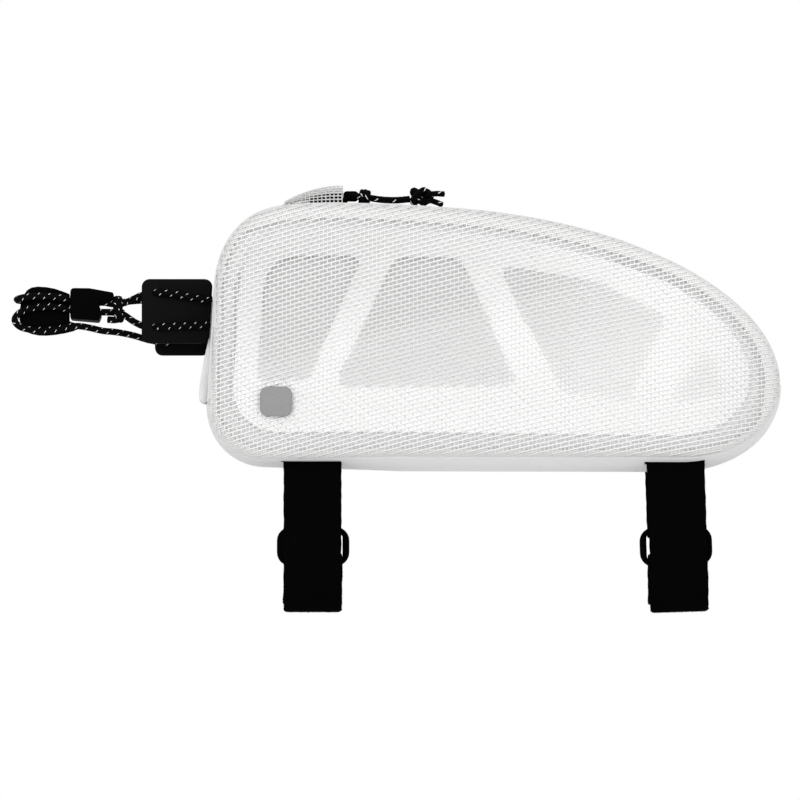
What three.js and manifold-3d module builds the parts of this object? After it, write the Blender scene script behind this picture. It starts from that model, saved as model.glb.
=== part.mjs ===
// Top tube bag: mesh sides over foam stiffeners, a zipped top, two strap loops and an elastic stem cord.
// Millimetres, +Z up, +X towards the rider, the near side at -Y, origin on the seat under the bag.
import * as THREE from "three";
import { mergeVertices } from "three/addons/utils/BufferGeometryUtils.js";
import Module from "manifold-3d";

const wasm = await Module();
wasm.setup();

// Driving dimensions
const GUSSET_HALF = 25; // from the middle plane to a side seam
const MESH = 1; // wall of the woven mesh
const CLOTH = 1.2; // wall of the smooth bottom cloth
const FOAM = 3; // stiffener sheet
const GAP = 0.3; // between pieces that touch
const STRAP = { width: 25, thick: 2, slitY: 19, bottom: -62 };
const RING = { width: 31.8, height: 17.2, thick: 3, slotWidth: 25.8, slotHeight: 11.2, z: -32 };
const KEEPER = { width: 24, half: 1.5, eye: 2.45 };
const CORD = 3; // elastic stem cord, diameter
const PULL_CORD = 2.6; // zip pull cord, diameter
const PAD = { thick: 2.6, y: 9.3, slotHeight: 4.4 };

// The side seam, anticlockwise as seen from the near side, from the lower end of the front edge.
// swell is how far the gusset stands out of the seam at its middle, at the start and end of a stretch.
const SEAM_START = [-123.5, 28];
const SEAM = {
  lowFront: { c1: [-123.9, 13], c2: [-112, 3], to: [-98, 3.2], steps: 6, swell: [1, 0.4] },
  bottomFront: { c1: [-85, 2.6], c2: [-60, 4.2], to: [-40, 4.3], steps: 3, swell: [0.4, 4] },
  bottom: { to: [84, 4], steps: 2, swell: [4, 4] },
  lowNose: { c1: [106, 4], c2: [125.3, 16], to: [125.3, 36], steps: 6, swell: [4, 1] },
  highNose: { c1: [125.3, 64], c2: [92.5, 84.8], to: [66, 95.2], steps: 8, swell: [1, 1] },
  topSlope: { c1: [41, 105.9], c2: [8, 111.6], to: [-18, 113.2], steps: 6, swell: [1, 1] },
  topFlat: { c1: [-42, 114.9], c2: [-70, 116.3], to: [-90, 114.4], steps: 6, swell: [1, 1] },
  highFront: { c1: [-105, 113.2], c2: [-119, 103], to: [-120.6, 80], steps: 6, swell: [1, 1] },
  front: { to: SEAM_START, steps: 4, swell: [1, 1] },
};
// The middle line of a side panel, which the panel's rings close in on.
const SPINE = [new THREE.Vector2(-70, 58), new THREE.Vector2(72, 44)];
// Rings of a side panel: how far in towards the spine, how far out of the seam's plane, inner wall's drop.
const PANEL_RINGS = [
  { inward: 0, out: 0, drop: 0 },
  { inward: 0.015, out: 3, drop: 0.3 },
  { inward: 0.045, out: 4.8, drop: 0.7 },
  { inward: 0.11, out: 6, drop: MESH },
  { inward: 0.3, out: 6.5, drop: MESH },
  { inward: 0.6, out: 7.2, drop: MESH },
  { inward: 0.88, out: 7.5, drop: MESH },
];
const PANEL_REACH = 50; // usual distance from seam to spine
const STIFFENER_RINGS = [0.235, 0.5, 0.88];
// Truss windows of a stiffener: corners with their fillet radii.
const WINDOWS = [
  [
    { x: -98.5, z: 91.5, r: 17 },
    { x: -56.2, z: 91.5, r: 4 },
    { x: -80, z: 38, r: 5 },
    { x: -102, z: 37.5, r: 4 },
  ],
  [
    { x: -42.4, z: 90.8, r: 9 },
    { x: -13.7, z: 90.8, r: 9 },
    { x: 10.9, z: 34.7, r: 4 },
    { x: -67.8, z: 34.7, r: 4 },
  ],
  [
    { x: 2.4, z: 87.5, r: 4 },
    { x: 42.6, z: 80.8, r: 30 },
    { x: 75, z: 65, r: 5 },
    { x: 60, z: 28, r: 5 },
    { x: 30.6, z: 32.2, r: 8 },
  ],
  [
    { x: 93.5, z: 53, r: 4 },
    { x: 102.5, z: 30.5, r: 4 },
    { x: 75.5, z: 26.5, r: 4 },
  ],
];
const LABEL = { x: -93.8, z: 27.8, width: 14.1, height: 13, r: 3.6, thick: 0.7 };
// Across the gusset: distance from the middle, and the share of the swell there.
const GUSSET_ROWS = [
  { y: -24.7, share: 0 },
  { y: -18, share: 0.55 },
  { y: -7, share: 1 },
  { y: 7, share: 1 },
  { y: 18, share: 0.55 },
  { y: 24.7, share: 0 },
];
const ZIP_HALF = 7; // from the middle to the edge of a top panel
const TAPE = { half: 10, top: -0.45, thick: 1 };
const COIL = { half: 2.6, top: 0.9 };
const GARAGE = { from: -92, to: -65, half: 10, rise: [1.6, 8.8], steps: 6, sides: 8 };
const SLIDER = { from: -80, to: -63, half: 4.5, low: 116.6, high: 119.6 };
// Side outline of the crown on the slider's back.
const CROWN_HALF = 2.4;
const CROWN = [
  { x: -78, z: 119, r: 0.4 },
  { x: -64.9, z: 119, r: 0.4 },
  { x: -64.9, z: 122.6, r: 1.2 },
  { x: -76, z: 120.8, r: 1 },
];
const PULL_TAB = { from: -64.8, to: -58.2, half: 0.6, low: 117.2, high: 123.4 };
const PULL_EYE = { x: -61.5, z: 120.4, r: 2.1 };
const PULL_KNOT = { at: [-30.9, 0, 120.3], radii: [4.9, 4.8, 4.1] };
const FRONT_TAB_HALF = 7.5;

const WHITE = { color: 0xf4f4f2, roughness: 0.7, metalness: 0 };
const FOAM_WHITE = { color: 0xfafafa, roughness: 0.85, metalness: 0 };
const BLACK_CLOTH = { color: 0x0b0b0c, roughness: 0.9, metalness: 0 };
const BLACK_RUBBER = { color: 0x101011, roughness: 0.7, metalness: 0 };
const BLACK_PLASTIC = { color: 0x0d0d0e, roughness: 0.4, metalness: 0 };
const GREY = { color: 0xa3a3a2, roughness: 0.7, metalness: 0 };

const bag = new THREE.Group();

function addPiece(name, geometry, look, parent = bag) {
  const mesh = new THREE.Mesh(geometry, new THREE.MeshStandardMaterial(look));
  mesh.name = name;
  parent.add(mesh);
  return mesh;
}

// Closed bodies

// A geometry from points and triangles, turned so that its faces point out.
function closedBody(points, triangles) {
  let volume = 0;
  for (const [a, b, c] of triangles) {
    volume += points[a].dot(new THREE.Vector3().crossVectors(points[b], points[c]));
  }
  const faces = volume < 0 ? triangles.map(([a, b, c]) => [a, c, b]) : triangles;
  const geometry = new THREE.BufferGeometry().setFromPoints(points);
  geometry.setIndex(faces.flat());
  geometry.computeVertexNormals();
  return geometry;
}

function quad(a, b, c, d) {
  return [
    [a, b, c],
    [a, c, d],
  ];
}

// A wall between two equal grids of points, closed along its four edges.
function wallBetween(outer, inner) {
  const rows = outer.length;
  const columns = outer[0].length;
  const points = [...outer.flat(), ...inner.flat()];
  const out = (i, j) => i * columns + j;
  const back = (i, j) => rows * columns + out(i, j);
  const triangles = [];
  for (let i = 0; i < rows - 1; i++) {
    for (let j = 0; j < columns - 1; j++) {
      triangles.push(...quad(out(i, j), out(i + 1, j), out(i + 1, j + 1), out(i, j + 1)));
      triangles.push(...quad(back(i, j), back(i, j + 1), back(i + 1, j + 1), back(i + 1, j)));
    }
  }
  for (let i = 0; i < rows - 1; i++) {
    triangles.push(...quad(out(i, 0), back(i, 0), back(i + 1, 0), out(i + 1, 0)));
    const j = columns - 1;
    triangles.push(...quad(out(i + 1, j), back(i + 1, j), back(i, j), out(i, j)));
  }
  for (let j = 0; j < columns - 1; j++) {
    triangles.push(...quad(out(0, j + 1), back(0, j + 1), back(0, j), out(0, j)));
    const i = rows - 1;
    triangles.push(...quad(out(i, j), back(i, j), back(i, j + 1), out(i, j + 1)));
  }
  return closedBody(points, triangles);
}

// A dish between two equal stacks of closed rings, each with its last ring filled in.
function dishBetween(outer, inner) {
  const rings = outer.length;
  const size = outer[0].length;
  const points = [...outer.flat(), ...inner.flat()];
  const out = (i, j) => i * size + (j % size);
  const back = (i, j) => rings * size + out(i, j);
  const triangles = [];
  for (let j = 0; j < size; j++) {
    for (let i = 0; i < rings - 1; i++) {
      triangles.push(...quad(out(i, j), out(i, j + 1), out(i + 1, j + 1), out(i + 1, j)));
      triangles.push(...quad(back(i, j), back(i + 1, j), back(i + 1, j + 1), back(i, j + 1)));
    }
    triangles.push(...quad(out(0, j), back(0, j), back(0, j + 1), out(0, j + 1)));
  }
  const last = outer[rings - 1].map((p) => new THREE.Vector2(p.x, p.z));
  for (const [a, b, c] of THREE.ShapeUtils.triangulateShape(last, [])) {
    triangles.push([out(rings - 1, a), out(rings - 1, b), out(rings - 1, c)]);
    triangles.push([back(rings - 1, a), back(rings - 1, c), back(rings - 1, b)]);
  }
  return closedBody(points, triangles);
}

function toSolid(geometry) {
  const bare = geometry.clone();
  bare.deleteAttribute("normal");
  bare.deleteAttribute("uv");
  const merged = mergeVertices(bare, 1e-4);
  const mesh = new wasm.Mesh({
    numProp: 3,
    vertProperties: new Float32Array(merged.attributes.position.array),
    triVerts: new Uint32Array(merged.index.array),
  });
  return new wasm.Manifold(mesh);
}

function fromSolid(solid) {
  const { vertProperties, triVerts } = solid.getMesh();
  const geometry = new THREE.BufferGeometry();
  geometry.setAttribute("position", new THREE.BufferAttribute(new Float32Array(vertProperties), 3));
  geometry.setIndex(Array.from(triVerts));
  geometry.computeVertexNormals();
  return geometry;
}

// Outlines and their extrusions

// A polygon whose corners are rounded by their own radii.
function roundedPolygon(corners) {
  const shape = new THREE.Shape();
  corners.forEach(({ x, z, r }, i) => {
    const corner = new THREE.Vector2(x, z);
    const before = corners[(i + corners.length - 1) % corners.length];
    const after = corners[(i + 1) % corners.length];
    const back = new THREE.Vector2(before.x, before.z).sub(corner).normalize();
    const ahead = new THREE.Vector2(after.x, after.z).sub(corner).normalize();
    const cut = r / Math.tan(Math.acos(THREE.MathUtils.clamp(back.dot(ahead), -1, 1)) / 2);
    const start = corner.clone().addScaledVector(back, cut);
    const end = corner.clone().addScaledVector(ahead, cut);
    if (i === 0) shape.moveTo(start.x, start.y);
    else shape.lineTo(start.x, start.y);
    shape.quadraticCurveTo(corner.x, corner.y, end.x, end.y);
  });
  shape.closePath();
  return shape;
}

function roundedBox(width, height, r) {
  const w = width / 2;
  const h = height / 2;
  return roundedPolygon([
    { x: -w, z: -h, r },
    { x: w, z: -h, r },
    { x: w, z: h, r },
    { x: -w, z: h, r },
  ]);
}

// The outline of a flat strip of one thickness that follows a path.
function ribbon(path, thick) {
  const points = path.getPoints(6).filter((p, i, all) => i === 0 || p.distanceTo(all[i - 1]) > 0.01);
  const sides = points.map((p, i) => {
    const before = points[Math.max(i - 1, 0)];
    const after = points[Math.min(i + 1, points.length - 1)];
    const along = after.clone().sub(before).normalize();
    const across = new THREE.Vector2(-along.y, along.x).multiplyScalar(thick / 2);
    return [p.clone().add(across), p.clone().sub(across)];
  });
  const left = sides.map(([a]) => a);
  const right = sides.map(([, b]) => b).reverse();
  return new THREE.Shape([...left, ...right]);
}

// Extrudes an outline in the X-Z plane between two Y values.
function extrudeAcross(shape, low, high, bevel = 0, curveSegments = 6) {
  const geometry = new THREE.ExtrudeGeometry(shape, {
    depth: high - low - 2 * bevel,
    curveSegments,
    bevelEnabled: bevel > 0,
    bevelThickness: bevel,
    bevelSize: bevel,
    bevelOffset: -bevel,
    bevelSegments: 1,
  });
  geometry.translate(0, 0, bevel - high);
  const toWorld = new THREE.Matrix4().makeBasis(
    new THREE.Vector3(1, 0, 0),
    new THREE.Vector3(0, 0, 1),
    new THREE.Vector3(0, -1, 0),
  );
  return geometry.applyMatrix4(toWorld);
}

// Extrudes an outline in the Y-Z plane over a width along X, about X = 0.
function extrudeAlong(shape, width) {
  const geometry = new THREE.ExtrudeGeometry(shape, { depth: width, curveSegments: 6, bevelEnabled: false });
  geometry.translate(0, 0, -width / 2);
  const toWorld = new THREE.Matrix4().makeBasis(
    new THREE.Vector3(0, 1, 0),
    new THREE.Vector3(0, 0, 1),
    new THREE.Vector3(1, 0, 0),
  );
  return geometry.applyMatrix4(toWorld);
}

function cordAlong(route, diameter, steps) {
  const curve = new THREE.CatmullRomCurve3(route.map((p) => new THREE.Vector3(...p)), false, "centripetal");
  const section = new THREE.Shape(new THREE.EllipseCurve(0, 0, diameter / 2, diameter / 2).getPoints(8));
  return new THREE.ExtrudeGeometry(section, { steps, extrudePath: curve, bevelEnabled: false });
}

// A closed turn of cord in the Y-Z plane round whatever passes through it.
function cordTurn(centre, halfWidth, halfHeight, radius) {
  const points = [];
  const count = 12;
  for (let i = 0; i < count; i++) {
    const angle = (i / count) * Math.PI * 2;
    points.push(new THREE.Vector3(0, halfWidth * Math.cos(angle), halfHeight * Math.sin(angle)));
  }
  const curve = new THREE.CatmullRomCurve3(points, true);
  const tube = new THREE.TubeGeometry(curve, 16, radius, 6, true).translate(...centre);
  tube.deleteAttribute("uv");
  tube.deleteAttribute("normal");
  const merged = mergeVertices(tube, 1e-3);
  merged.computeVertexNormals();
  return merged;
}

// The seam and what is sewn along it

// Points along the named stretches of the seam, each with its outward normal and swell.
function seamStations(names) {
  const order = Object.keys(SEAM);
  const stations = [];
  for (const name of names) {
    const { c1, c2, to, steps, swell } = SEAM[name];
    const before = order[(order.indexOf(name) + order.length - 1) % order.length];
    const start = new THREE.Vector2(...SEAM[before].to);
    const end = new THREE.Vector2(...to);
    const curve = c1
      ? new THREE.CubicBezierCurve(start, new THREE.Vector2(...c1), new THREE.Vector2(...c2), end)
      : new THREE.LineCurve(start, end);
    for (let i = stations.length ? 1 : 0; i <= steps; i++) {
      const along = curve.getTangentAt(i / steps);
      stations.push({
        at: curve.getPointAt(i / steps),
        along,
        normal: new THREE.Vector2(along.y, -along.x),
        swell: THREE.MathUtils.lerp(swell[0], swell[1], THREE.MathUtils.smoothstep(i / steps, 0, 1)),
      });
    }
  }
  return stations;
}

const SEAM_LOOP = seamStations(Object.keys(SEAM)).slice(0, -1);

function lerpRows(rows, key, at, value) {
  const next = Math.max(1, rows.findIndex((row) => row[key] >= at));
  const [low, high] = [rows[next - 1], rows[next]];
  return THREE.MathUtils.mapLinear(at, low[key], high[key], low[value], high[value]);
}

// A strip of gusset along stretches of the seam, between two Y values, of one thickness.
function gussetStrip(names, low, high, faceOffset, thick) {
  const stations = seamStations(names);
  const inner = GUSSET_ROWS.map((row) => row.y).filter((y) => y > low && y < high);
  const across = [low, ...inner, high];
  const trim = (i) => (i === 0 ? GAP / 2 : i === stations.length - 1 ? -GAP / 2 : 0);
  const grid = (depth) =>
    stations.map(({ at, along, normal, swell }, i) =>
      across.map((y) => {
        const out = swell * lerpRows(GUSSET_ROWS, "y", y, "share") + faceOffset - depth;
        const p = at.clone().addScaledVector(normal, out).addScaledVector(along, trim(i));
        return new THREE.Vector3(p.x, y, p.y);
      }),
    );
  return wallBetween(grid(0), grid(thick));
}

function seamHeightAt(x) {
  const top = [...seamStations(["topSlope", "topFlat", "highFront"])].reverse();
  return lerpRows(top.map(({ at }) => ({ x: at.x, z: at.y })), "x", x, "z");
}

// Side panels and stiffeners

function towardsSpine(point, inward) {
  const foot = new THREE.Line3(
    new THREE.Vector3(SPINE[0].x, SPINE[0].y, 0),
    new THREE.Vector3(SPINE[1].x, SPINE[1].y, 0),
  ).closestPointToPoint(new THREE.Vector3(point.x, point.y, 0), true, new THREE.Vector3());
  return point.clone().lerp(new THREE.Vector2(foot.x, foot.y), inward);
}

function panelRing(side, inward, out) {
  return SEAM_LOOP.map(({ at }) => {
    const p = towardsSpine(at, inward);
    return new THREE.Vector3(p.x, side * (GUSSET_HALF + out), p.y);
  });
}

function sidePanel(side) {
  const outer = PANEL_RINGS.map(({ inward, out }) => panelRing(side, inward, out));
  const inner = PANEL_RINGS.map(({ inward, out, drop }) =>
    panelRing(side, inward + (MESH / PANEL_REACH) * (1 - inward), out - drop),
  );
  return dishBetween(outer, inner);
}

function stiffener(side) {
  const face = (inward) => lerpRows(PANEL_RINGS, "inward", inward, "out") - MESH - GAP;
  const outer = STIFFENER_RINGS.map((inward) => panelRing(side, inward, face(inward)));
  const inner = STIFFENER_RINGS.map((inward) => panelRing(side, inward, face(inward) - FOAM));
  let sheet = toSolid(dishBetween(outer, inner));
  for (const corners of WINDOWS) {
    const reach = [side * (GUSSET_HALF - 10), side * (GUSSET_HALF + 15)].sort((a, b) => a - b);
    sheet = sheet.subtract(toSolid(extrudeAcross(roundedPolygon(corners), ...reach, 0, 4)));
  }
  return fromSolid(sheet);
}

// How far out of the seam's plane a side panel's face stands at a place.
function panelOut(x, z) {
  const place = new THREE.Vector2(x, z);
  const foot = towardsSpine(place, 1);
  const ray = place.clone().sub(foot);
  let reach = Infinity;
  SEAM_LOOP.forEach(({ at }, i) => {
    const edge = SEAM_LOOP[(i + 1) % SEAM_LOOP.length].at.clone().sub(at);
    const toEdge = at.clone().sub(foot);
    const turn = ray.cross(edge);
    const along = toEdge.cross(edge) / turn;
    const share = toEdge.cross(ray) / turn;
    if (along > 0 && share >= 0 && share <= 1) reach = Math.min(reach, along);
  });
  return lerpRows(PANEL_RINGS, "inward", 1 - 1 / reach, "out");
}

// A flat plate bent to lie on the near side panel.
function label() {
  const { x, z, width, height, r, thick } = LABEL;
  const plate = extrudeAcross(roundedBox(width, height, r), -thick, 0).translate(x, 0, z);
  const place = plate.attributes.position;
  for (let i = 0; i < place.count; i++) {
    const face = GUSSET_HALF + panelOut(place.getX(i), place.getZ(i)) + GAP;
    place.setY(i, place.getY(i) - face);
  }
  return plate;
}

// Top opening

function zipGarage() {
  const { from, to, half, rise, steps, sides } = GARAGE;
  const hood = (inset) => {
    const grid = [];
    for (let i = 0; i <= steps; i++) {
      const t = i / steps;
      const x = THREE.MathUtils.lerp(from, to, t);
      const high = THREE.MathUtils.lerp(rise[0], rise[1], Math.sin((t * Math.PI) / 2) ** 0.8);
      const base = seamHeightAt(x) + SEAM.topFlat.swell[0] + GAP;
      const row = [];
      for (let j = 0; j <= sides; j++) {
        const angle = Math.PI * (1 - j / sides);
        const lift = (high - inset) * Math.sin(angle);
        row.push(new THREE.Vector3(x, (half - inset) * Math.cos(angle), base + lift));
      }
      grid.push(row);
    }
    return grid;
  };
  return wallBetween(hood(0), hood(MESH));
}

function zipSlider() {
  const { from, to, half, low, high } = SLIDER;
  const body = extrudeAcross(
    roundedPolygon([
      { x: from, z: low, r: 0.8 },
      { x: to, z: low, r: 0.8 },
      { x: to, z: high, r: 1.4 },
      { x: from, z: high, r: 1.4 },
    ]),
    -half,
    half,
    0.4,
    3,
  );
  const tab = roundedPolygon([
    { x: PULL_TAB.from, z: PULL_TAB.low, r: 0.5 },
    { x: PULL_TAB.to, z: PULL_TAB.low, r: 1.2 },
    { x: PULL_TAB.to, z: PULL_TAB.high, r: 1.8 },
    { x: PULL_TAB.from, z: PULL_TAB.high, r: 1.8 },
  ]);
  tab.holes.push(new THREE.Path().absarc(PULL_EYE.x, PULL_EYE.z, PULL_EYE.r, 0, Math.PI * 2));
  const crown = extrudeAcross(roundedPolygon(CROWN), -CROWN_HALF, CROWN_HALF, 0, 3);
  const plate = extrudeAcross(tab, -PULL_TAB.half, PULL_TAB.half, 0, 3);
  return fromSolid(toSolid(body).add(toSolid(crown)).add(toSolid(plate)));
}

const PULL_ROUTE = [
  [-35.8, -1.8, 119.2],
  [-42, -1.8, 118.7],
  [-48.5, -1.8, 119],
  [-53.9, -1.9, 119.8],
  [-58, -2.3, 120.3],
  [-60.6, -1.9, 120.5],
  [-61.8, 0, 120.5],
  [-60.6, 1.9, 120.5],
  [-58, 2.3, 120.3],
  [-53.9, 1.9, 119.8],
  [-48.5, 1.8, 119],
  [-42, 1.8, 118.7],
  [-35.8, 1.8, 119.2],
];
const PULL_HITCH = { at: [-55.4, 0, 120], halfWidth: 4.7, halfHeight: 2.7, radius: 0.9 };
const PULL_TAILS = [
  [
    [-28.5, -1.2, 120.6],
    [-20.6, -2.2, 121.2],
  ],
  [
    [-28.5, 1.2, 119],
    [-21.4, 2, 116.8],
  ],
];

function pullKnot() {
  const ball = new THREE.SphereGeometry(1, 12, 8).rotateX(Math.PI / 2).scale(...PULL_KNOT.radii);
  let knot = toSolid(ball.translate(...PULL_KNOT.at));
  for (const tail of PULL_TAILS) knot = knot.add(toSolid(cordAlong(tail, PULL_CORD, 2)));
  return fromSolid(knot);
}

// Front: tab, pads and the elastic cord

function frontFaceAt(z) {
  const [top, low] = [SEAM.highFront.to, SEAM_START];
  return THREE.MathUtils.mapLinear(z, top[1], low[1], top[0], low[0]) - SEAM.front.swell[0];
}

function frontTab() {
  const path = new THREE.Path();
  const clear = GAP + CLOTH / 2;
  path.moveTo(frontFaceAt(74) - clear, 74);
  path.lineTo(frontFaceAt(56) - clear, 56);
  path.quadraticCurveTo(-126.6, 44, -127.2, 34);
  path.quadraticCurveTo(-127.3, 30, -124.9, 29.6);
  return extrudeAcross(ribbon(path, CLOTH), -FRONT_TAB_HALF, FRONT_TAB_HALF);
}

// A pad on one side of the stem, cut to the slant of the front panel, with two slots for the cord.
const STEM_PADS = [
  {
    name: "stem_pad_near",
    side: -1,
    left: -152.8,
    low: 55,
    high: 82.6,
    slots: [
      { x: -147.4, z: 77.2, length: 8.6 },
      { x: -147.4, z: 62.2, length: 8.6 },
    ],
  },
  {
    name: "stem_pad_far",
    side: 1,
    left: -147.4,
    low: 51.2,
    high: 79.4,
    slots: [
      { x: -140, z: 75.2, length: 9.4 },
      { x: -140.2, z: 56.8, length: 9.6 },
    ],
  },
];

function stemPad({ side, left, low, high, slots }) {
  const right = (z) => frontFaceAt(z) - GAP;
  const corners = [
    { x: left, z: low, r: 5 },
    { x: right(low), z: low, r: 1 },
    { x: right(high), z: high, r: 3.5 },
    { x: left, z: high, r: 4 },
  ];
  const reach = [side * PAD.y - PAD.thick / 2, side * PAD.y + PAD.thick / 2];
  let pad = toSolid(extrudeAcross(roundedPolygon(corners), ...reach, 0.4, 4));
  for (const { x, z, length } of slots) {
    const slot = roundedBox(length, PAD.slotHeight, PAD.slotHeight / 2.01);
    const cutter = extrudeAcross(slot, reach[0] - 1, reach[1] + 1, 0, 3).translate(x, 0, z);
    pad = pad.subtract(toSolid(cutter));
  }
  return fromSolid(pad);
}

const UPPER_ROUTE = [
  [-122.3, -12.6, 73.4],
  [-128, -12.6, 74.3],
  [-134, -12.5, 75.5],
  [-141, -12.6, 76.7],
  [-144.8, -12.2, 77.1],
  [-147.6, -9.3, 77.2],
  [-150.2, -6.4, 77],
  [-153, -5.9, 76.4],
  [-156.5, -5.4, 74.8],
  [-160.9, -4.6, 73],
  [-165.2, -4, 72.7],
  [-170.4, -3.5, 73.7],
  [-174, -3.4, 74.2],
  [-179, -3.4, 74.3],
  [-184.4, -3.4, 74.9],
  [-190, -3.5, 75.7],
  [-197.2, -3.8, 76.2],
  [-203.3, -4.3, 75.8],
  [-206.5, -3, 75.3],
  [-207.6, 0, 75],
  [-206.5, 3, 74.8],
  [-203.3, 4.3, 74.6],
  [-197.2, 3.8, 74.3],
  [-190, 3.5, 74.1],
  [-179, 3.4, 74.1],
  [-171, 3.4, 74],
  [-163, 4.2, 74.2],
  [-155, 5.4, 75],
  [-147, 6, 75.4],
  [-142.8, 6.6, 75.4],
  [-140, 9.3, 75.2],
  [-137.2, 12.1, 74.8],
  [-130, 12.6, 73.8],
  [-122.5, 12.6, 72.4],
];
const LOWER_ROUTE = [
  [-122.9, -12.6, 62.8],
  [-128, -12.6, 62.7],
  [-134, -12.5, 62.5],
  [-141, -12.6, 62.2],
  [-144.8, -12.2, 62.1],
  [-147.6, -9.3, 62.2],
  [-150.2, -6.4, 62.5],
  [-153, -5.9, 63.2],
  [-156.5, -5.4, 65],
  [-160.9, -4.6, 68],
  [-165.2, -4, 69],
  [-170.4, -3.5, 69.2],
  [-174, -3.4, 69.3],
  [-179, -3.4, 69.4],
  [-184.4, -3.4, 70.3],
  [-190, -3.4, 71.5],
  [-196.4, -3.5, 71.6],
  [-202.6, -3.6, 70.5],
  [-206.9, -3.7, 68.4],
  [-208.4, -3.8, 65.6],
  [-206.3, -3.8, 62.9],
  [-201.4, -3.6, 61.5],
  [-195.3, -3.5, 61.2],
  [-189, -3.4, 61.9],
  [-183.5, -3.5, 63],
  [-179.5, -3.5, 63],
  [-175, -3.4, 62.2],
  [-170, -2.8, 61.1],
  [-164, -1.6, 60.6],
  [-157, 0.4, 59.4],
  [-150, 3.4, 57.6],
  [-143.2, 6.4, 56.7],
  [-140, 9.3, 56.8],
  [-137, 12.1, 57.3],
  [-130, 12.6, 58.4],
  [-123.3, 12.6, 59.6],
];
const CORD_STEPS = 40;
const CORD_KNOT = { at: [-163, -4.4, 70.6], halfWidth: 3.8, halfHeight: 5.6, radius: 1.5 };

// Side outline of the hook body: a barrel with a tapering roof on its right and a lip under it.
const HOOK_OUTLINE = [
  { x: -184.1, z: 66.3, r: 1 },
  { x: -171.6, z: 65.2, r: 1 },
  { x: -170.6, z: 67.8, r: 0.9 },
  { x: -171.7, z: 73.4, r: 0.9 },
  { x: -165.2, z: 74.6, r: 0.9 },
  { x: -165.2, z: 77.6, r: 0.9 },
  { x: -175.7, z: 79.5, r: 2 },
  { x: -184.1, z: 79.6, r: 1.8 },
];
const HOOK = { half: 6.9, channelHalf: 5.3, channelLow: 67.4, channelHigh: 76.3 };

function cordHook() {
  const { half, channelHalf, channelLow, channelHigh } = HOOK;
  const body = toSolid(extrudeAcross(roundedPolygon(HOOK_OUTLINE), -half, half, 0.4, 3));
  const channel = new THREE.BoxGeometry(40, 2 * channelHalf, channelHigh - channelLow);
  channel.translate(-175, 0, (channelLow + channelHigh) / 2);
  return fromSolid(body.subtract(toSolid(channel)));
}

// Oval end pull that the cord is folded over.
const PULL_LEAF = { half: 1.5, right: -184.5, high: 77.4, low: 65.4 };
const PULL_LEAF_EDGE = [
  [-191.9, 80],
  [-200, 80.6],
  [-204.2, 77.8],
  [-206.4, 70.4],
  [-205.6, 62.6],
  [-200, 59.6],
  [-192.8, 59.3],
  [-183.7, 60.9],
  [-178, 63.4],
];

function pullLeaf() {
  const shape = new THREE.Shape();
  shape.moveTo(PULL_LEAF.right, PULL_LEAF.high);
  shape.splineThru(PULL_LEAF_EDGE.map(([x, z]) => new THREE.Vector2(x, z)));
  shape.lineTo(PULL_LEAF.right, PULL_LEAF.low);
  shape.closePath();
  return extrudeAcross(shape, -PULL_LEAF.half, PULL_LEAF.half, 0.6, 2);
}

// Straps and their rings

// One strap hangs from a slit on the near side, turns under the tube, and is drawn back through its ring.
function strapPath(top) {
  const { slitY, thick, bottom } = STRAP;
  const path = new THREE.Path();
  const barZ = RING.z - RING.height / 2 + RING.thick / 2;
  const turn = RING.thick * Math.SQRT1_2 + GAP + thick / 2; // from the bar's middle to the strap's
  const farY = slitY - turn;
  const bend = (slitY + farY) / 2;
  const bendY = farY - bend;
  const bendZ = bottom + thick / 2 + bend;
  const lap = bend + thick + GAP; // the end laid back over the strap
  const lapFrom = -0.35;
  const lapTo = -0.75;
  path.moveTo(-slitY, top);
  path.lineTo(-slitY, bendZ);
  path.absarc(bendY, bendZ, bend, Math.PI, Math.PI * 2, false);
  path.lineTo(farY, barZ);
  path.absarc(slitY, barZ, turn, Math.PI, 0, true);
  const lapStart = new THREE.Vector2(bendY + lap * Math.cos(lapFrom), bendZ + lap * Math.sin(lapFrom));
  path.bezierCurveTo(slitY + turn, barZ - 6, lapStart.x + 1.4, lapStart.y + 3.8, lapStart.x, lapStart.y);
  path.absarc(bendY, bendZ, lap, lapFrom, lapTo, true);
  return path;
}

function strapRing() {
  const shape = roundedBox(RING.width, RING.height, 6);
  shape.holes.push(roundedBox(RING.slotWidth, RING.slotHeight, 1.6));
  const low = STRAP.slitY - RING.thick / 2;
  return extrudeAcross(shape, low, low + RING.thick, 0, 5).translate(0, 0, RING.z);
}

function ringKeeper(top) {
  const { half, eye } = KEEPER;
  const barZ = RING.z + RING.height / 2 - RING.thick / 2;
  const round = eye + half;
  const shape = new THREE.Shape();
  shape.moveTo(-half, top);
  shape.lineTo(-half, barZ + 11);
  shape.bezierCurveTo(-half, barZ + 6, -round, barZ + 5, -round, barZ);
  shape.absarc(0, barZ, round, Math.PI, Math.PI * 2, false);
  shape.bezierCurveTo(round, barZ + 5, half, barZ + 6, half, barZ + 11);
  shape.lineTo(half, top);
  shape.closePath();
  shape.holes.push(new THREE.Path().absarc(0, barZ, eye, 0, Math.PI * 2));
  return extrudeAlong(shape, KEEPER.width).translate(0, STRAP.slitY, 0);
}

// The bag put together

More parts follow.
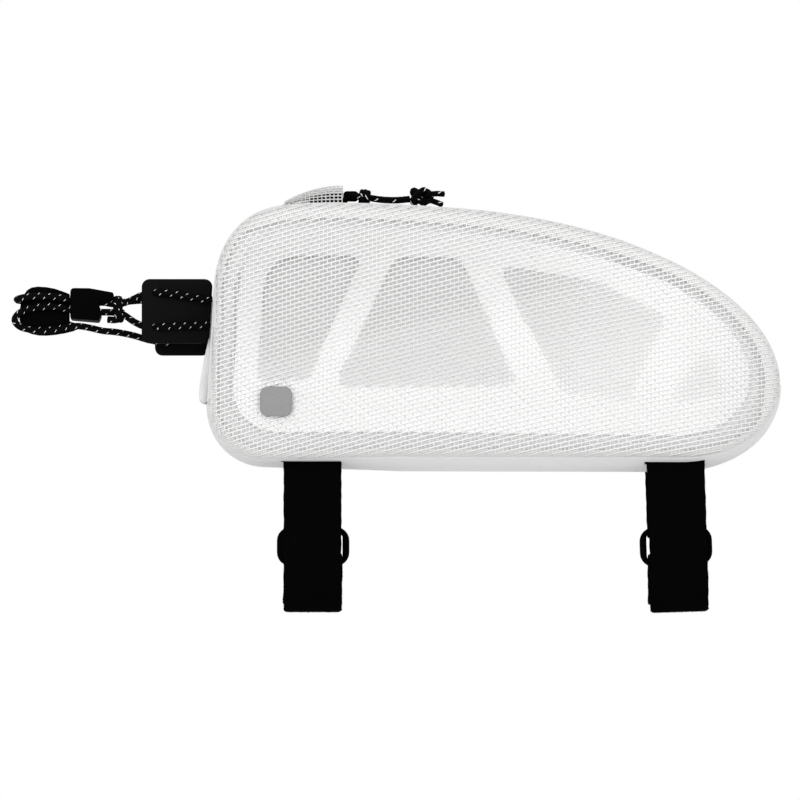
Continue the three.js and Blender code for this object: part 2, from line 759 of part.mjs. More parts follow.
for (const [end, side] of [["near", -1], ["far", 1]]) {
  addPiece(`side_panel_${end}`, sidePanel(side), WHITE);
  addPiece(`stiffener_${end}`, stiffener(side), FOAM_WHITE);
  const edges = [side * (GUSSET_HALF - GAP), side * ZIP_HALF].sort((a, b) => a - b);
  addPiece(`top_panel_${end}`, gussetStrip(["topSlope", "topFlat"], ...edges, 0, MESH), WHITE);
}
const seams = [-(GUSSET_HALF - GAP), GUSSET_HALF - GAP];
const underside = ["lowFront", "bottomFront", "bottom", "lowNose"];
addPiece("bottom_panel", gussetStrip(underside, ...seams, 0, CLOTH), WHITE);
addPiece("rear_panel", gussetStrip(["highNose"], ...seams, 0, MESH), WHITE);
addPiece("front_panel", gussetStrip(["highFront", "front"], ...seams, 0, MESH), WHITE);

const tapeFace = TAPE.top - SEAM.topFlat.swell[0];
const zipLength = ["topSlope", "topFlat"];
addPiece("zip_tape", gussetStrip(zipLength, -TAPE.half, TAPE.half, tapeFace, TAPE.thick), WHITE);
const coilThick = COIL.top - TAPE.top - GAP;
const coilFace = COIL.top - SEAM.topFlat.swell[0];
addPiece("zip_coil", gussetStrip(zipLength, -COIL.half, COIL.half, coilFace, coilThick), WHITE);
addPiece("zip_slider", zipSlider(), BLACK_PLASTIC);
addPiece("zip_garage", zipGarage(), WHITE);
addPiece("zip_pull_cord", cordAlong(PULL_ROUTE, PULL_CORD, 24), BLACK_CLOTH);
addPiece(
  "zip_pull_hitch",
  cordTurn(PULL_HITCH.at, PULL_HITCH.halfWidth, PULL_HITCH.halfHeight, PULL_HITCH.radius),
  BLACK_CLOTH,
);
addPiece("zip_pull_knot", pullKnot(), BLACK_CLOTH);

addPiece("label", label(), GREY);
addPiece("front_tab", frontTab(), WHITE);
for (const pad of STEM_PADS) addPiece(pad.name, stemPad(pad), BLACK_RUBBER);
addPiece("shock_cord_upper", cordAlong(UPPER_ROUTE, CORD, CORD_STEPS), BLACK_CLOTH);
addPiece("shock_cord_lower", cordAlong(LOWER_ROUTE, CORD, CORD_STEPS), BLACK_CLOTH);
addPiece(
  "cord_knot",
  cordTurn(CORD_KNOT.at, CORD_KNOT.halfWidth, CORD_KNOT.halfHeight, CORD_KNOT.radius),
  BLACK_CLOTH,
);
addPiece("cord_hook", cordHook(), BLACK_PLASTIC);
addPiece("pull_leaf", pullLeaf(), BLACK_RUBBER);

const STRAP_PLACES = [
  { end: "front", x: -78.1, lean: 0, top: 1.9 },
  { end: "rear", x: 80, lean: THREE.MathUtils.degToRad(-1.8), top: 1.3 },
];
for (const { end, x, lean, top } of STRAP_PLACES) {
  const set = new THREE.Group();
  set.position.x = x;
  set.rotation.y = lean;
  addPiece(`strap_${end}`, extrudeAlong(ribbon(strapPath(top), STRAP.thick), STRAP.width), BLACK_CLOTH, set);
  addPiece(`ring_${end}`, strapRing(), BLACK_PLASTIC, set);
  addPiece(`ring_keeper_${end}`, ringKeeper(top), BLACK_CLOTH, set);
  bag.add(set);
}

export default bag;
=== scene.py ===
"""Top tube bag: woven mesh sides over foam trusses, a zipped top, strap loops and an elastic stem cord.

Lengths are in millimetres until a mesh is made, which is in metres. +X runs towards the rider, the near side
is at -Y and +Z is up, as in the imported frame.
"""

from __future__ import annotations

import logging
import math
from dataclasses import dataclass, field, replace
from enum import Enum
from typing import Callable, ClassVar, Sequence

import bmesh
import bpy
import numpy as np
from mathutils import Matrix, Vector
from mathutils.bvhtree import BVHTree

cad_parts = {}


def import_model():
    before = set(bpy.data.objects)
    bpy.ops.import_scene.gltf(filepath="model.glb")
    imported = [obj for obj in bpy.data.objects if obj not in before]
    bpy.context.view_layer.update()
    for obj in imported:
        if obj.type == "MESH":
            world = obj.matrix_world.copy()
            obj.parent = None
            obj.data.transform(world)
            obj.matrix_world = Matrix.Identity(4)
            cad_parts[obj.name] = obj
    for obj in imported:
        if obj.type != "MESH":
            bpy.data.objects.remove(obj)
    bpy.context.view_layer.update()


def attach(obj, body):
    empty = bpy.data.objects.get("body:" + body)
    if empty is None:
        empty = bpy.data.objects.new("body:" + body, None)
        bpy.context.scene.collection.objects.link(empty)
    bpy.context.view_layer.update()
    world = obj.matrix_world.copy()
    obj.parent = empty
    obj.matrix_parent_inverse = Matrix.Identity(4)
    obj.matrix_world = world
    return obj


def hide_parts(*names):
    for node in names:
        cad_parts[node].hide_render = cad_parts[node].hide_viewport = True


LOG = logging.getLogger("top_tube_bag")
BODY = "root"
MM = 0.001
SEED = 0
SHADE = "shade"
WHITE = (1.0, 1.0, 1.0, 1.0)

GUSSET_HALF = 25.0
MESH_WALL = 1.0
CLOTH_WALL = 1.2
FOAM_WALL = 3.0
GAP = 0.3
ZIP_HALF = 7.0
CORD_DIAMETER = 3.0
PULL_DIAMETER = 2.6
CORD_STEP = 0.6

Color = tuple[float, float, float]
Place = tuple[float, float, float]
FlatPlace = tuple[float, float]
Laying = Callable[[np.ndarray], np.ndarray]


class Side(Enum):
    """The two side panels, by the sign of Y."""

    NEAR = -1
    FAR = 1

    @property
    def label(self) -> str:
        """The name that the side has in node names."""
        return self.name.lower()


class Slot(str, Enum):
    """Material slots of the record."""

    MESH = "mesh"
    FOAM = "foam"
    SMOOTH = "smooth_cloth"
    ZIP_CLOTH = "zip_cloth"
    ZIP_PLASTIC = "zip_plastic"
    PLASTIC = "black_plastic"
    CORD = "black_cord"
    RUBBER = "pad_rubber"
    STRAP = "strap_cloth"
    LABEL = "label_grey"


# Node trees


@dataclass
class Nodes:
    """Short calls that fill a node tree.

    Attributes:
        tree: The tree.
        source: Outputs of its input node, where it is a group.
        target: Inputs of its output node, where it is a group.
    """

    tree: bpy.types.NodeTree
    source: bpy.types.NodeOutputs | None = None
    target: bpy.types.NodeInputs | None = None

    @classmethod
    def group(cls, name: str, kind: str, inputs: dict[str, str], outputs: dict[str, str]) -> Nodes:
        """Starts a node group.

        Args:
            name: Group name.
            kind: Type of its tree.
            inputs: Type of each input, by name.
            outputs: Type of each output, by name.

        Returns:
            The group's nodes.
        """
        made = cls(bpy.data.node_groups.new(name, kind))
        for way, sockets in (("INPUT", inputs), ("OUTPUT", outputs)):
            for label, socket in sockets.items():
                made.tree.interface.new_socket(name=label, in_out=way, socket_type=f"NodeSocket{socket}")
        made.source = made.add("NodeGroupInput").outputs
        made.target = made.add("NodeGroupOutput").inputs
        return made

    def feed(self, socket: bpy.types.NodeSocket, value: object) -> None:
        """Links a socket to another one, or sets its value.

        Args:
            socket: The socket to feed.
            value: The other socket, or the value.
        """
        if isinstance(value, bpy.types.NodeSocket):
            self.tree.links.new(value, socket)
        else:
            socket.default_value = value

    def add(self, kind: str, inputs: dict | None = None, **settings: object) -> bpy.types.Node:
        """Adds a node.

        Args:
            kind: Type of the node.
            inputs: What feeds its inputs, by name or number.
            settings: The node's own settings.

        Returns:
            The node.
        """
        node = self.tree.nodes.new(kind)
        for name, value in settings.items():
            setattr(node, name, value)
        for name, value in (inputs or {}).items():
            self.feed(node.inputs[name], value)
        return node

    def math(self, operation: str, *values: object) -> bpy.types.NodeSocket:
        """Adds a math node for an operation on values or sockets, and gives its result."""
        return self.add("ShaderNodeMath", dict(enumerate(values)), operation=operation).outputs[0]

    def blend(self, factor: object, first: object, second: object, way: str = "MIX") -> bpy.types.NodeSocket:
        """Adds a mix of two colours.

        Args:
            factor: Share of the second colour.
            first: The first colour.
            second: The second colour.
            way: How they are mixed.

        Returns:
            The mixed colour.
        """
        inputs = {"Factor": factor, "A": first, "B": second}
        return self.add("ShaderNodeMix", inputs, data_type="RGBA", blend_type=way).outputs["Result"]


def grain_group() -> bpy.types.NodeTree:
    """Makes the shared surface grain once: fine noise as a shade factor and as a height.

    Returns:
        The shader node group, with inputs Vector, Scale and Amount and outputs Shade and Height.
    """
    found = bpy.data.node_groups.get("SurfaceGrain")
    if found:
        return found
    inputs = {"Vector": "Vector", "Scale": "Float", "Amount": "Float"}
    nodes = Nodes.group("SurfaceGrain", "ShaderNodeTree", inputs, {"Shade": "Float", "Height": "Float"})
    spread = {name: nodes.source[name] for name in ("Vector", "Scale")}
    noise = nodes.add("ShaderNodeTexNoise", {**spread, "Detail": 3.0, "Roughness": 0.65}).outputs["Fac"]
    swing = nodes.math("MULTIPLY", nodes.math("SUBTRACT", noise, 0.5), nodes.source["Amount"])
    nodes.feed(nodes.target["Shade"], nodes.math("ADD", swing, 1.0))
    nodes.feed(nodes.target["Height"], noise)
    return nodes.tree


def fleck_group() -> bpy.types.NodeTree:
    """Makes the tracer flecks of a braided cord once, from a map of millimetres along and turns around.

    Returns:
        The shader node group, with inputs UV, Pitch and Rows and output Fleck.
    """
    found = bpy.data.node_groups.get("TracerFlecks")
    if found:
        return found
    long_share, half_row, row_slant, stagger = 0.06, 0.24, 0.34, 0.5
    inputs = {"UV": "Vector", "Pitch": "Float", "Rows": "Float"}
    nodes = Nodes.group("TracerFlecks", "ShaderNodeTree", inputs, {"Fleck": "Float"})
    place = nodes.add("ShaderNodeSeparateXYZ", {0: nodes.source["UV"]}).outputs
    rows = nodes.math("MULTIPLY", place["Y"], nodes.source["Rows"])
    in_row = nodes.math("FRACT", rows)
    shift = nodes.math("MULTIPLY", nodes.math("FLOOR", rows), stagger)
    along = nodes.math("ADD", nodes.math("DIVIDE", place["X"], nodes.source["Pitch"]), shift)
    phase = nodes.math("ADD", along, nodes.math("MULTIPLY", in_row, row_slant))
    dash = nodes.math("LESS_THAN", nodes.math("FRACT", phase), long_share)
    off_middle = nodes.math("ABSOLUTE", nodes.math("SUBTRACT", in_row, 0.5))
    in_middle = nodes.math("LESS_THAN", off_middle, half_row)
    nodes.feed(nodes.target["Fleck"], nodes.math("MULTIPLY", dash, in_middle))
    return nodes.tree


# Finishes


@dataclass(frozen=True)
class Finish:
    """A plain finish with surface grain.

    Attributes:
        name: Material name.
        color: Linear base colour.
        roughness: Surface roughness.
        grain_scale: Noise scale in object space.
        grain: Swing of the shade.
        bump: Height of the grain, in metres.
        translucent: Share of light that passes through.
        specular: Strength of the mirror-like part.
    """

    name: str
    color: Color
    roughness: float = 0.6
    grain_scale: float = 900.0
    grain: float = 0.1
    bump: float = 0.0
    translucent: float = 0.0
    specular: float = 0.3

    def material(self) -> bpy.types.Material:
        """Makes the material once.

        Returns:
            The material with this finish.
        """
        found = bpy.data.materials.get(self.name)
        if found:
            return found
        made = bpy.data.materials.new(self.name)
        made.use_nodes = True
        made.node_tree.nodes.clear()
        nodes = Nodes(made.node_tree)
        place = nodes.add("ShaderNodeTexCoord").outputs["Object"]
        grained = {"Vector": place, "Scale": self.grain_scale, "Amount": self.grain}
        grain = nodes.add("ShaderNodeGroup", grained, node_tree=grain_group()).outputs
        plain = nodes.blend(1.0, (*self.color, 1.0), grain["Shade"], "MULTIPLY")
        color = self.tint(nodes, plain)
        looks = {"Base Color": color, "Roughness": self.roughness, "Specular IOR Level": self.specular}
        shader = nodes.add("ShaderNodeBsdfPrincipled", looks)
        if self.bump:
            bump = nodes.add("ShaderNodeBump", {"Distance": self.bump, "Height": grain["Height"]})
            nodes.feed(shader.inputs["Normal"], bump.outputs["Normal"])
        surface = shader.outputs["BSDF"]
        if self.translucent:
            through = nodes.add("ShaderNodeBsdfTranslucent", {"Color": color}).outputs["BSDF"]
            mix = nodes.add("ShaderNodeMixShader", {"Fac": self.translucent, 1: surface, 2: through})
            surface = mix.outputs["Shader"]
        nodes.add("ShaderNodeOutputMaterial", {"Surface": surface})
        return made

    def tint(self, nodes: Nodes, color: bpy.types.NodeSocket) -> bpy.types.NodeSocket:
        """Lets a kind of finish change its plain colour from place to place."""
        return color


@dataclass(frozen=True)
class CordFinish(Finish):
    """A braided cord with pale tracer flecks.

    Attributes:
        fleck_color: Linear colour of a fleck.
        pitch: Millimetres from fleck to fleck.
        rows: Rows of flecks round the cord.
    """

    fleck_color: Color = (0.7, 0.7, 0.68)
    pitch: float = 4.6
    rows: float = 4.0

    def tint(self, nodes: Nodes, color: bpy.types.NodeSocket) -> bpy.types.NodeSocket:
        """Lays the flecks over the cord's colour.

        Args:
            nodes: The material's nodes.
            color: The plain colour.

        Returns:
            The colour with flecks.
        """
        place = nodes.add("ShaderNodeTexCoord").outputs["UV"]
        inputs = {"UV": place, "Pitch": self.pitch, "Rows": self.rows}
        fleck = nodes.add("ShaderNodeGroup", inputs, node_tree=fleck_group())
        return nodes.blend(fleck.outputs["Fleck"], color, (*self.fleck_color, 1.0))


@dataclass(frozen=True)
class GradedFinish(Finish):
    """A cloth whose colour changes steadily along one direction: painted light and shade.

    Attributes:
        pale: Linear colour where the grading starts.
        direction: Object direction of the grading.
        span: Places along it where the grading starts and ends, in metres.
    """

    pale: Color = (0.98, 0.98, 0.98)
    direction: Place = (-0.25, 0.0, 1.0)
    span: FlatPlace = (0.03, 0.1)

    def tint(self, nodes: Nodes, color: bpy.types.NodeSocket) -> bpy.types.NodeSocket:
        """Blends from the pale colour to the plain one.

        Args:
            nodes: The material's nodes.
            color: The plain colour.

        Returns:
            The graded colour.
        """
        place = nodes.add("ShaderNodeTexCoord").outputs["Object"]
        along = nodes.add("ShaderNodeVectorMath", {0: place, 1: self.direction}, operation="DOT_PRODUCT")
        ends = {"From Min": self.span[0], "From Max": self.span[1]}
        graded = nodes.add("ShaderNodeMapRange", {"Value": along.outputs["Value"], **ends})
        return nodes.blend(graded.outputs["Result"], (*self.pale, 1.0), color)


@dataclass(frozen=True)
class WovenFinish(Finish):
    """A yarn that is darker where the weave puts it in shade.

    Attributes:
        deep_color: Linear colour where it is fully in shade.
    """

    deep_color: Color = (0.45, 0.45, 0.45)

    def tint(self, nodes: Nodes, color: bpy.types.NodeSocket) -> bpy.types.NodeSocket:
        """Blends towards the deep colour with the yarn's shade."""
        shade = nodes.add("ShaderNodeAttribute", attribute_name=SHADE)
        return nodes.blend(shade.outputs["Fac"], color, (*self.deep_color, 1.0))


YARN = WovenFinish("WhiteYarn", (0.86, 0.86, 0.855), 0.6, 1500.0, 0.05, translucent=0.25)
HOOD_BACKING = Finish("RimCloth", (0.7, 0.7, 0.69), 0.7, 1800.0, 0.1, 0.00006, translucent=0.2)
# Painted shade: the rolled rim darkens towards its deep grey where its shade is set.
ROLLED_RIM = WovenFinish(
    "RolledRim",
    (0.74, 0.74, 0.735),
    0.7,
    1800.0,
    0.1,
    0.00006,
    translucent=0.2,
    deep_color=(0.66, 0.66, 0.655),
)
# Painted shade: the foam is pale low at the rear and darker towards the top and the front, graded along its
# direction.
FOAM = GradedFinish(
    "WhiteFoam",
    (0.69, 0.69, 0.69),
    0.85,
    1200.0,
    0.04,
    0.00004,
    pale=(0.96, 0.96, 0.96),
    span=(0.06, 0.115),
)
# Painted shade: the lining darkens towards its deep grey where its shade is set.
LINING = WovenFinish("PaleLining", (0.95, 0.95, 0.95), 0.8, 800.0, 0.03, deep_color=(0.64, 0.64, 0.64))
# Painted shade: the lining's edge band is darker towards the bottom and paler towards the top.
LINING_EDGE = GradedFinish(
    "ShadedLining",
    (0.91, 0.91, 0.91),
    0.8,
    800.0,
    0.03,
    pale=(0.81, 0.81, 0.81),
    direction=(0.0, 0.0, 1.0),
    span=(0.04, 0.1),
)
SMOOTH = Finish("SmoothCloth", (0.8, 0.8, 0.8), 0.5, 2500.0, 0.05, 0.00002, translucent=0.3)
ZIP_TAPE = Finish("ZipTape", (0.83, 0.83, 0.82), 0.7, 2200.0, 0.12, 0.00005)
ZIP_TEETH = Finish("ZipTeeth", (0.78, 0.78, 0.77), 0.4, 900.0, 0.03)
PLASTIC = Finish("BlackPlastic", (0.0009, 0.0009, 0.0009), 0.5, 1600.0, 0.2, 0.00002, specular=0.008)
RUBBER = Finish("PadRubber", (0.003, 0.003, 0.0031), 0.6, 3200.0, 0.6, 0.00008, specular=0.025)
STRAP = Finish("BrushedStrap", (0.0012, 0.0012, 0.0012), 0.9, 2600.0, 0.7, 0.00015, specular=0.003)
CORD = CordFinish("TracerCord", (0.0018, 0.0018, 0.0019), 0.75, 4200.0, 0.5, 0.00005, specular=0.02)
PULL_CORD = replace(CORD, name="PullCord", pitch=7.8, rows=3.0)
LABEL = Finish("PlainLabel", (0.215, 0.215, 0.215), 0.7, 1500.0, 0.4, 0.00003, specular=0.15)
FLOOR = Finish("PaleFloor", (0.85, 0.85, 0.85), 0.9, 2.0, 0.0)


# Meshes


def linked(name: str, data: bpy.types.ID) -> bpy.types.Object:
    """Links an object at the origin.

    Args:
        name: Its name, which its data gets too.
        data: Its mesh, light or camera.

    Returns:
        The object.
    """
    data.name = name
    made = bpy.data.objects.new(name, data)
    bpy.context.scene.collection.objects.link(made)
    return made


def points_of(mesh: bpy.types.Mesh) -> np.ndarray:
    """Reads a mesh's points.

    Args:
        mesh: The mesh.

    Returns:
        One row of three numbers per vertex, in millimetres.
    """
    points = np.zeros(len(mesh.vertices) * 3)
    mesh.vertices.foreach_get("co", points)
    return points.reshape(-1, 3) / MM


def corners_of(mesh: bpy.types.Mesh) -> np.ndarray:
    """Reads the vertex numbers of a mesh's face corners.

    Args:
        mesh: The mesh.

    Returns:
        One number per corner, face by face.
    """
    corners = np.zeros(len(mesh.loops), dtype=np.int32)
    mesh.loops.foreach_get("vertex_index", corners)
    return corners


@dataclass
class Form:
    """Points, faces and an optional map, in millimetres.

    Attributes:
        points: One row of three numbers per vertex.
        faces: Vertex numbers of each face.
        uv: Optional map place of each vertex.
        shade: Optional shade of each vertex, from 0 to 1.
        edges: Loose edges, as pairs of vertex numbers.
    """

    points: np.ndarray
    faces: list[tuple[int, ...]]
    uv: np.ndarray | None = None
    shade: np.ndarray | None = None
    edges: list[tuple[int, int]] = field(default_factory=list)

    def trimmed(self) -> Form:
        """Drops the points that no face uses, where all faces have as many corners.

        Returns:
            The form without them.
        """
        faces = np.array(self.faces)
        used, numbers = np.unique(faces, return_inverse=True)
        renumbered = [tuple(face) for face in numbers.reshape(faces.shape).tolist()]
        return Form(self.points[used], renumbered, shade=None if self.shade is None else self.shade[used])

    def stood(self, at: Place) -> Form:
        """Stands a flat form up, its second axis along Z, and moves it to a place."""
        return Form(self.points[:, [0, 2, 1]] * np.array([1, -1, 1]) + np.array(at), self.faces)

    def object(self, name: str, finish: Finish) -> bpy.types.Object:
        """Makes a smooth mesh object at the origin.

        Args:
            name: Object name.
            finish: Its finish.

        Returns:
            The linked object.
        """
        mesh = bpy.data.meshes.new(name)
        mesh.from_pydata((np.asarray(self.points) * MM).tolist(), self.edges, self.faces)
        mesh.update()
        mesh.shade_smooth()
        if self.uv is not None:
            layer = mesh.uv_layers.new(name="UVMap")
            layer.data.foreach_set("uv", np.asarray(self.uv, dtype=np.float32)[corners_of(mesh)].ravel())
        if self.shade is not None:
            layer = mesh.attributes.new(SHADE, "FLOAT", "POINT")
            layer.data.foreach_set("value", np.asarray(self.shade, dtype=np.float32))
        mesh.materials.append(finish.material())
        return linked(name, mesh)


def joined(forms: Sequence[Form]) -> Form:
    """Puts several forms into one.

    Args:
        forms: The forms to join.

    Returns:
        One form with all their points and faces, mapped where all of them are.
    """
    faces: list[tuple[int, ...]] = []
    start = 0
    for form in forms:
        faces.extend(tuple(int(i) + start for i in face) for face in form.faces)
        start += len(form.points)
    mapped = all(form.uv is not None for form in forms)
    uv = np.vstack([form.uv for form in forms]) if mapped else None
    return Form(np.vstack([form.points for form in forms]), faces, uv)


def ramp(value: np.ndarray, start: float, end: float) -> np.ndarray:
    """Rises evenly from 0 at the start to 1 at the end, and is level beyond them."""
    return np.clip((value - start) / (end - start), 0, 1)


def within(low: FlatPlace, high: FlatPlace) -> Laying:
    """Gives a test for the flat points that lie between two corners."""
    return lambda points: ((points[:, :2] > low) & (points[:, :2] < high)).all(axis=1)


def grid_faces(rows: int, columns: int, wrap: bool = False) -> list[tuple[int, ...]]:
    """Faces between the points of a grid.

    Args:
        rows: Number of rows.
        columns: Points in a row.
        wrap: Whether each row closes on itself.

    Returns:
        Four vertex numbers per face.
    """
    faces = []
    for a in range(0, (rows - 1) * columns, columns):
        b = a + columns
        for j in range(columns if wrap else columns - 1):
            k = (j + 1) % columns
            faces.append((a + j, a + k, b + k, b + j))
    return faces


def slab(outer: np.ndarray, inner: np.ndarray) -> Form:
    """A wall between two equal grids of points, closed along its edges.

    Args:
        outer: Rows by columns by three.
        inner: The same, on the other face.

    Returns:
        The closed wall.
    """
    rows, columns = outer.shape[:2]
    count = rows * columns
    front = grid_faces(rows, columns)
    faces = front + [tuple(i + count for i in reversed(face)) for face in front]
    edge = [(0, j) for j in range(columns)]
    edge += [(i, columns - 1) for i in range(1, rows)]
    edge += [(rows - 1, j) for j in range(columns - 2, -1, -1)]
    edge += [(i, 0) for i in range(rows - 2, 0, -1)]
    numbers = [i * columns + j for i, j in edge]
    faces += [(b, a, a + count, b + count) for a, b in zip(numbers, numbers[1:] + numbers[:1])]
    return Form(np.vstack([outer.reshape(-1, 3), inner.reshape(-1, 3)]), faces)


def rounded_rect(width: float, height: float, radius: float) -> np.ndarray:
    """An outline with round corners, middle at the origin.

    Args:
        width: Its first size.
        height: Its second size.
        radius: Radius of its corners.

    Returns:
        One row per point.
    """
    corner_points = 7
    points = []
    for corner, (sx, sy) in enumerate(((1, 1), (-1, 1), (-1, -1), (1, -1))):
        centre = np.array([sx * (width / 2 - radius), sy * (height / 2 - radius)])
        for angle in np.linspace(corner, corner + 1, corner_points) * math.pi / 2:
            points.append(centre + radius * np.array([math.cos(angle), math.sin(angle)]))
    return np.array(points)


def rounded_plate(
    size: FlatPlace, radius: float, thick: float, edge: float, hole: Place | None = None
) -> Form:
    """A plate in the X-Y plane with rounded corners and edges.

    Args:
        size: Width and height.
        radius: Radius of its corners.
        thick: Thickness, half of it on each side of the plane.
        edge: Radius of its edges.
        hole: Width, height and corner radius of a hole through its middle, if any.

    Returns:
        The closed plate.
    """
    edge_points, least_radius = 4, 0.05
    turns = np.linspace(0, math.pi / 2, edge_points)
    lower = [(edge * (1 - math.sin(a)), -thick / 2 + edge * (1 - math.cos(a))) for a in turns]
    profile = lower + [(inset, -height) for inset, height in reversed(lower)]
    outlines = [
        (size[0] - 2 * inset, size[1] - 2 * inset, max(radius - inset, least_radius), height)
        for inset, height in profile
    ]
    if hole:
        outlines += [
            (hole[0] + 2 * inset, hole[1] + 2 * inset, hole[2] + inset, height)
            for inset, height in reversed(profile)
        ]
        outlines.append(outlines[0])
    rings = []
    for *outline, height in outlines:
        flat = rounded_rect(*outline)
        rings.append(np.column_stack([flat, np.full(len(flat), height)]))
    count = len(rings[0])
    faces = grid_faces(len(rings), count, wrap=True)
    if not hole:
        last = (len(rings) - 1) * count
        faces.append(tuple(reversed(range(count))))
        faces.append(tuple(last + j for j in range(count)))
    return Form(np.vstack(rings), faces)


# Lines


def travelled(line: np.ndarray) -> np.ndarray:
    """Distance along a polyline at each of its points."""
    return np.concatenate([[0.0], np.cumsum(np.linalg.norm(np.diff(line, axis=0), axis=1))])


def directions(line: np.ndarray) -> np.ndarray:
    """Direction of a polyline at each of its points."""
    along = np.gradient(line, axis=0)
    return along / np.linalg.norm(along, axis=1)[:, None]


def resampled(line: np.ndarray, step: float) -> np.ndarray:
    """A polyline at even distances.

    Args:
        line: The points.
        step: Distance between samples.

    Returns:
        One row per sample, with both ends kept.
    """
    along = travelled(line)
    places = np.linspace(0.0, along[-1], max(2, int(round(along[-1] / step)) + 1))
    return np.column_stack([np.interp(places, along, line[:, k]) for k in range(line.shape[1])])


def smooth_route(route: Sequence[Place], step: float) -> np.ndarray:
    """A centripetal curve through points, resampled evenly.

    Args:
        route: The points.
        step: Distance between samples.

    Returns:
        One row per sample.
    """

    def between(start: float, end: float, first: np.ndarray, second: np.ndarray) -> np.ndarray:
        """Blends from the first place, at the start, to the second one, at the end."""
        return (end - x) / (end - start) * first + (x - start) / (end - start) * second

    span_points = 24
    known = np.asarray(route, dtype=float)
    ends = np.vstack([2 * known[0] - known[1], known, 2 * known[-1] - known[-2]])
    fine = []
    for i in range(1, len(ends) - 2):
        p = ends[i - 1 : i + 3]
        t = np.concatenate([[0.0], np.cumsum(np.sqrt(np.linalg.norm(np.diff(p, axis=0), axis=1)))])
        x = np.linspace(t[1], t[2], span_points, endpoint=False)[:, None]
        a = [between(t[k], t[k + 1], p[k], p[k + 1]) for k in range(3)]
        b = [between(t[k], t[k + 2], a[k], a[k + 1]) for k in range(2)]
        fine.append(between(t[1], t[2], b[0], b[1]))
    return resampled(np.vstack([*fine, known[-1:]]), step)


def winding(turns: np.ndarray, start: Place, advance: float, wide: float, tall: float) -> np.ndarray:
    """A cord's line wound round an axis along X.

    Args:
        turns: Angles, from the first to the last.
        start: Middle of the winding at angle 0.
        advance: How far it moves along X up to the last angle.
        wide: Its reach along Y.
        tall: Its reach along Z.

    Returns:
        One row per sample.
    """
    x = start[0] + advance * turns / turns[-1]
    line = np.column_stack([x, start[1] + wide * np.cos(turns), start[2] + tall * np.sin(turns)])
    return resampled(line, CORD_STEP)


def tube(line: np.ndarray, radius: float, sides: int = 12) -> Form:
    """A round cord along a line, with closed, slightly rounded ends.

    Args:
        line: The centreline.
        radius: Half its thickness.
        sides: Points in a ring.

    Returns:
        The cord, mapped by millimetres along and turns around.
    """
    bulge = 0.3 * radius
    along = directions(line)
    helper = np.array([0.0, 1.0, 0.0]) if abs(along[0][1]) < 0.9 else np.array([1.0, 0.0, 0.0])
    normal = np.cross(along[0], helper)
    angles = np.linspace(0, 2 * math.pi, sides + 1)
    distances = travelled(line)
    rings = []
    maps = []
    for place, direction, distance in zip(line, along, distances):
        normal = normal - direction * normal.dot(direction)
        normal /= np.linalg.norm(normal)
        across = np.cross(direction, normal)
        rings.append(place + radius * (np.cos(angles)[:, None] * normal + np.sin(angles)[:, None] * across))
        maps.append(np.column_stack([np.full(sides + 1, distance), angles / (2 * math.pi)]))
    points = np.vstack([*rings, line[:1] - along[:1] * bulge, line[-1:] + along[-1:] * bulge])
    uv = np.vstack([*maps, [[0.0, 0.0], [distances[-1], 0.0]]])
    first = len(line) * (sides + 1)
    last = (len(line) - 1) * (sides + 1)
    faces = grid_faces(len(line), sides + 1)
    faces += [(j + 1, j, first) for j in range(sides)]
    faces += [(last + j, last + j + 1, first + 1) for j in range(sides)]
    return Form(points, faces, uv)


class FlatPath:
    """A line in a plane, drawn with straight runs, arcs and curves."""

    ARC_STEP: ClassVar[float] = 0.6
    CURVE_POINTS: ClassVar[int] = 16

    def __init__(self, start: FlatPlace) -> None:
        """Starts the line at its first point."""
        self.points = [np.asarray(start, dtype=float)]

    def line(self, to: FlatPlace) -> FlatPath:
        """Adds a straight run to a point."""
        self.points.append(np.asarray(to, dtype=float))
        return self

    def arc(self, centre: FlatPlace, radius: float, start: float, end: float) -> FlatPath:
        """Adds an arc.

        Args:
            centre: Its centre.
            radius: Its radius.
            start: First angle, in radians.
            end: Last angle, in radians.

        Returns:
            The path itself.
        """
        count = max(4, int(abs(end - start) * radius / self.ARC_STEP))
        for angle in np.linspace(start, end, count):
            self.points.append(np.asarray(centre) + radius * np.array([math.cos(angle), math.sin(angle)]))
        return self

    def curve(self, *handles: FlatPlace) -> FlatPath:
        """Adds a Bezier curve.

        Args:
            handles: One or two handles, then the end.

        Returns:
            The path itself.
        """
        frame = [self.points[-1], *(np.asarray(h, dtype=float) for h in handles)]
        for t in np.linspace(0, 1, self.CURVE_POINTS)[1:]:
            level = frame
            while len(level) > 1:
                level = [a * (1 - t) + b * t for a, b in zip(level, level[1:])]
            self.points.append(level[0])
        return self

    def sampled(self, step: float) -> np.ndarray:
        """The path at even distances, one row per sample."""
        return resampled(np.array(self.points), step)


# Geometry node trees for what repeats


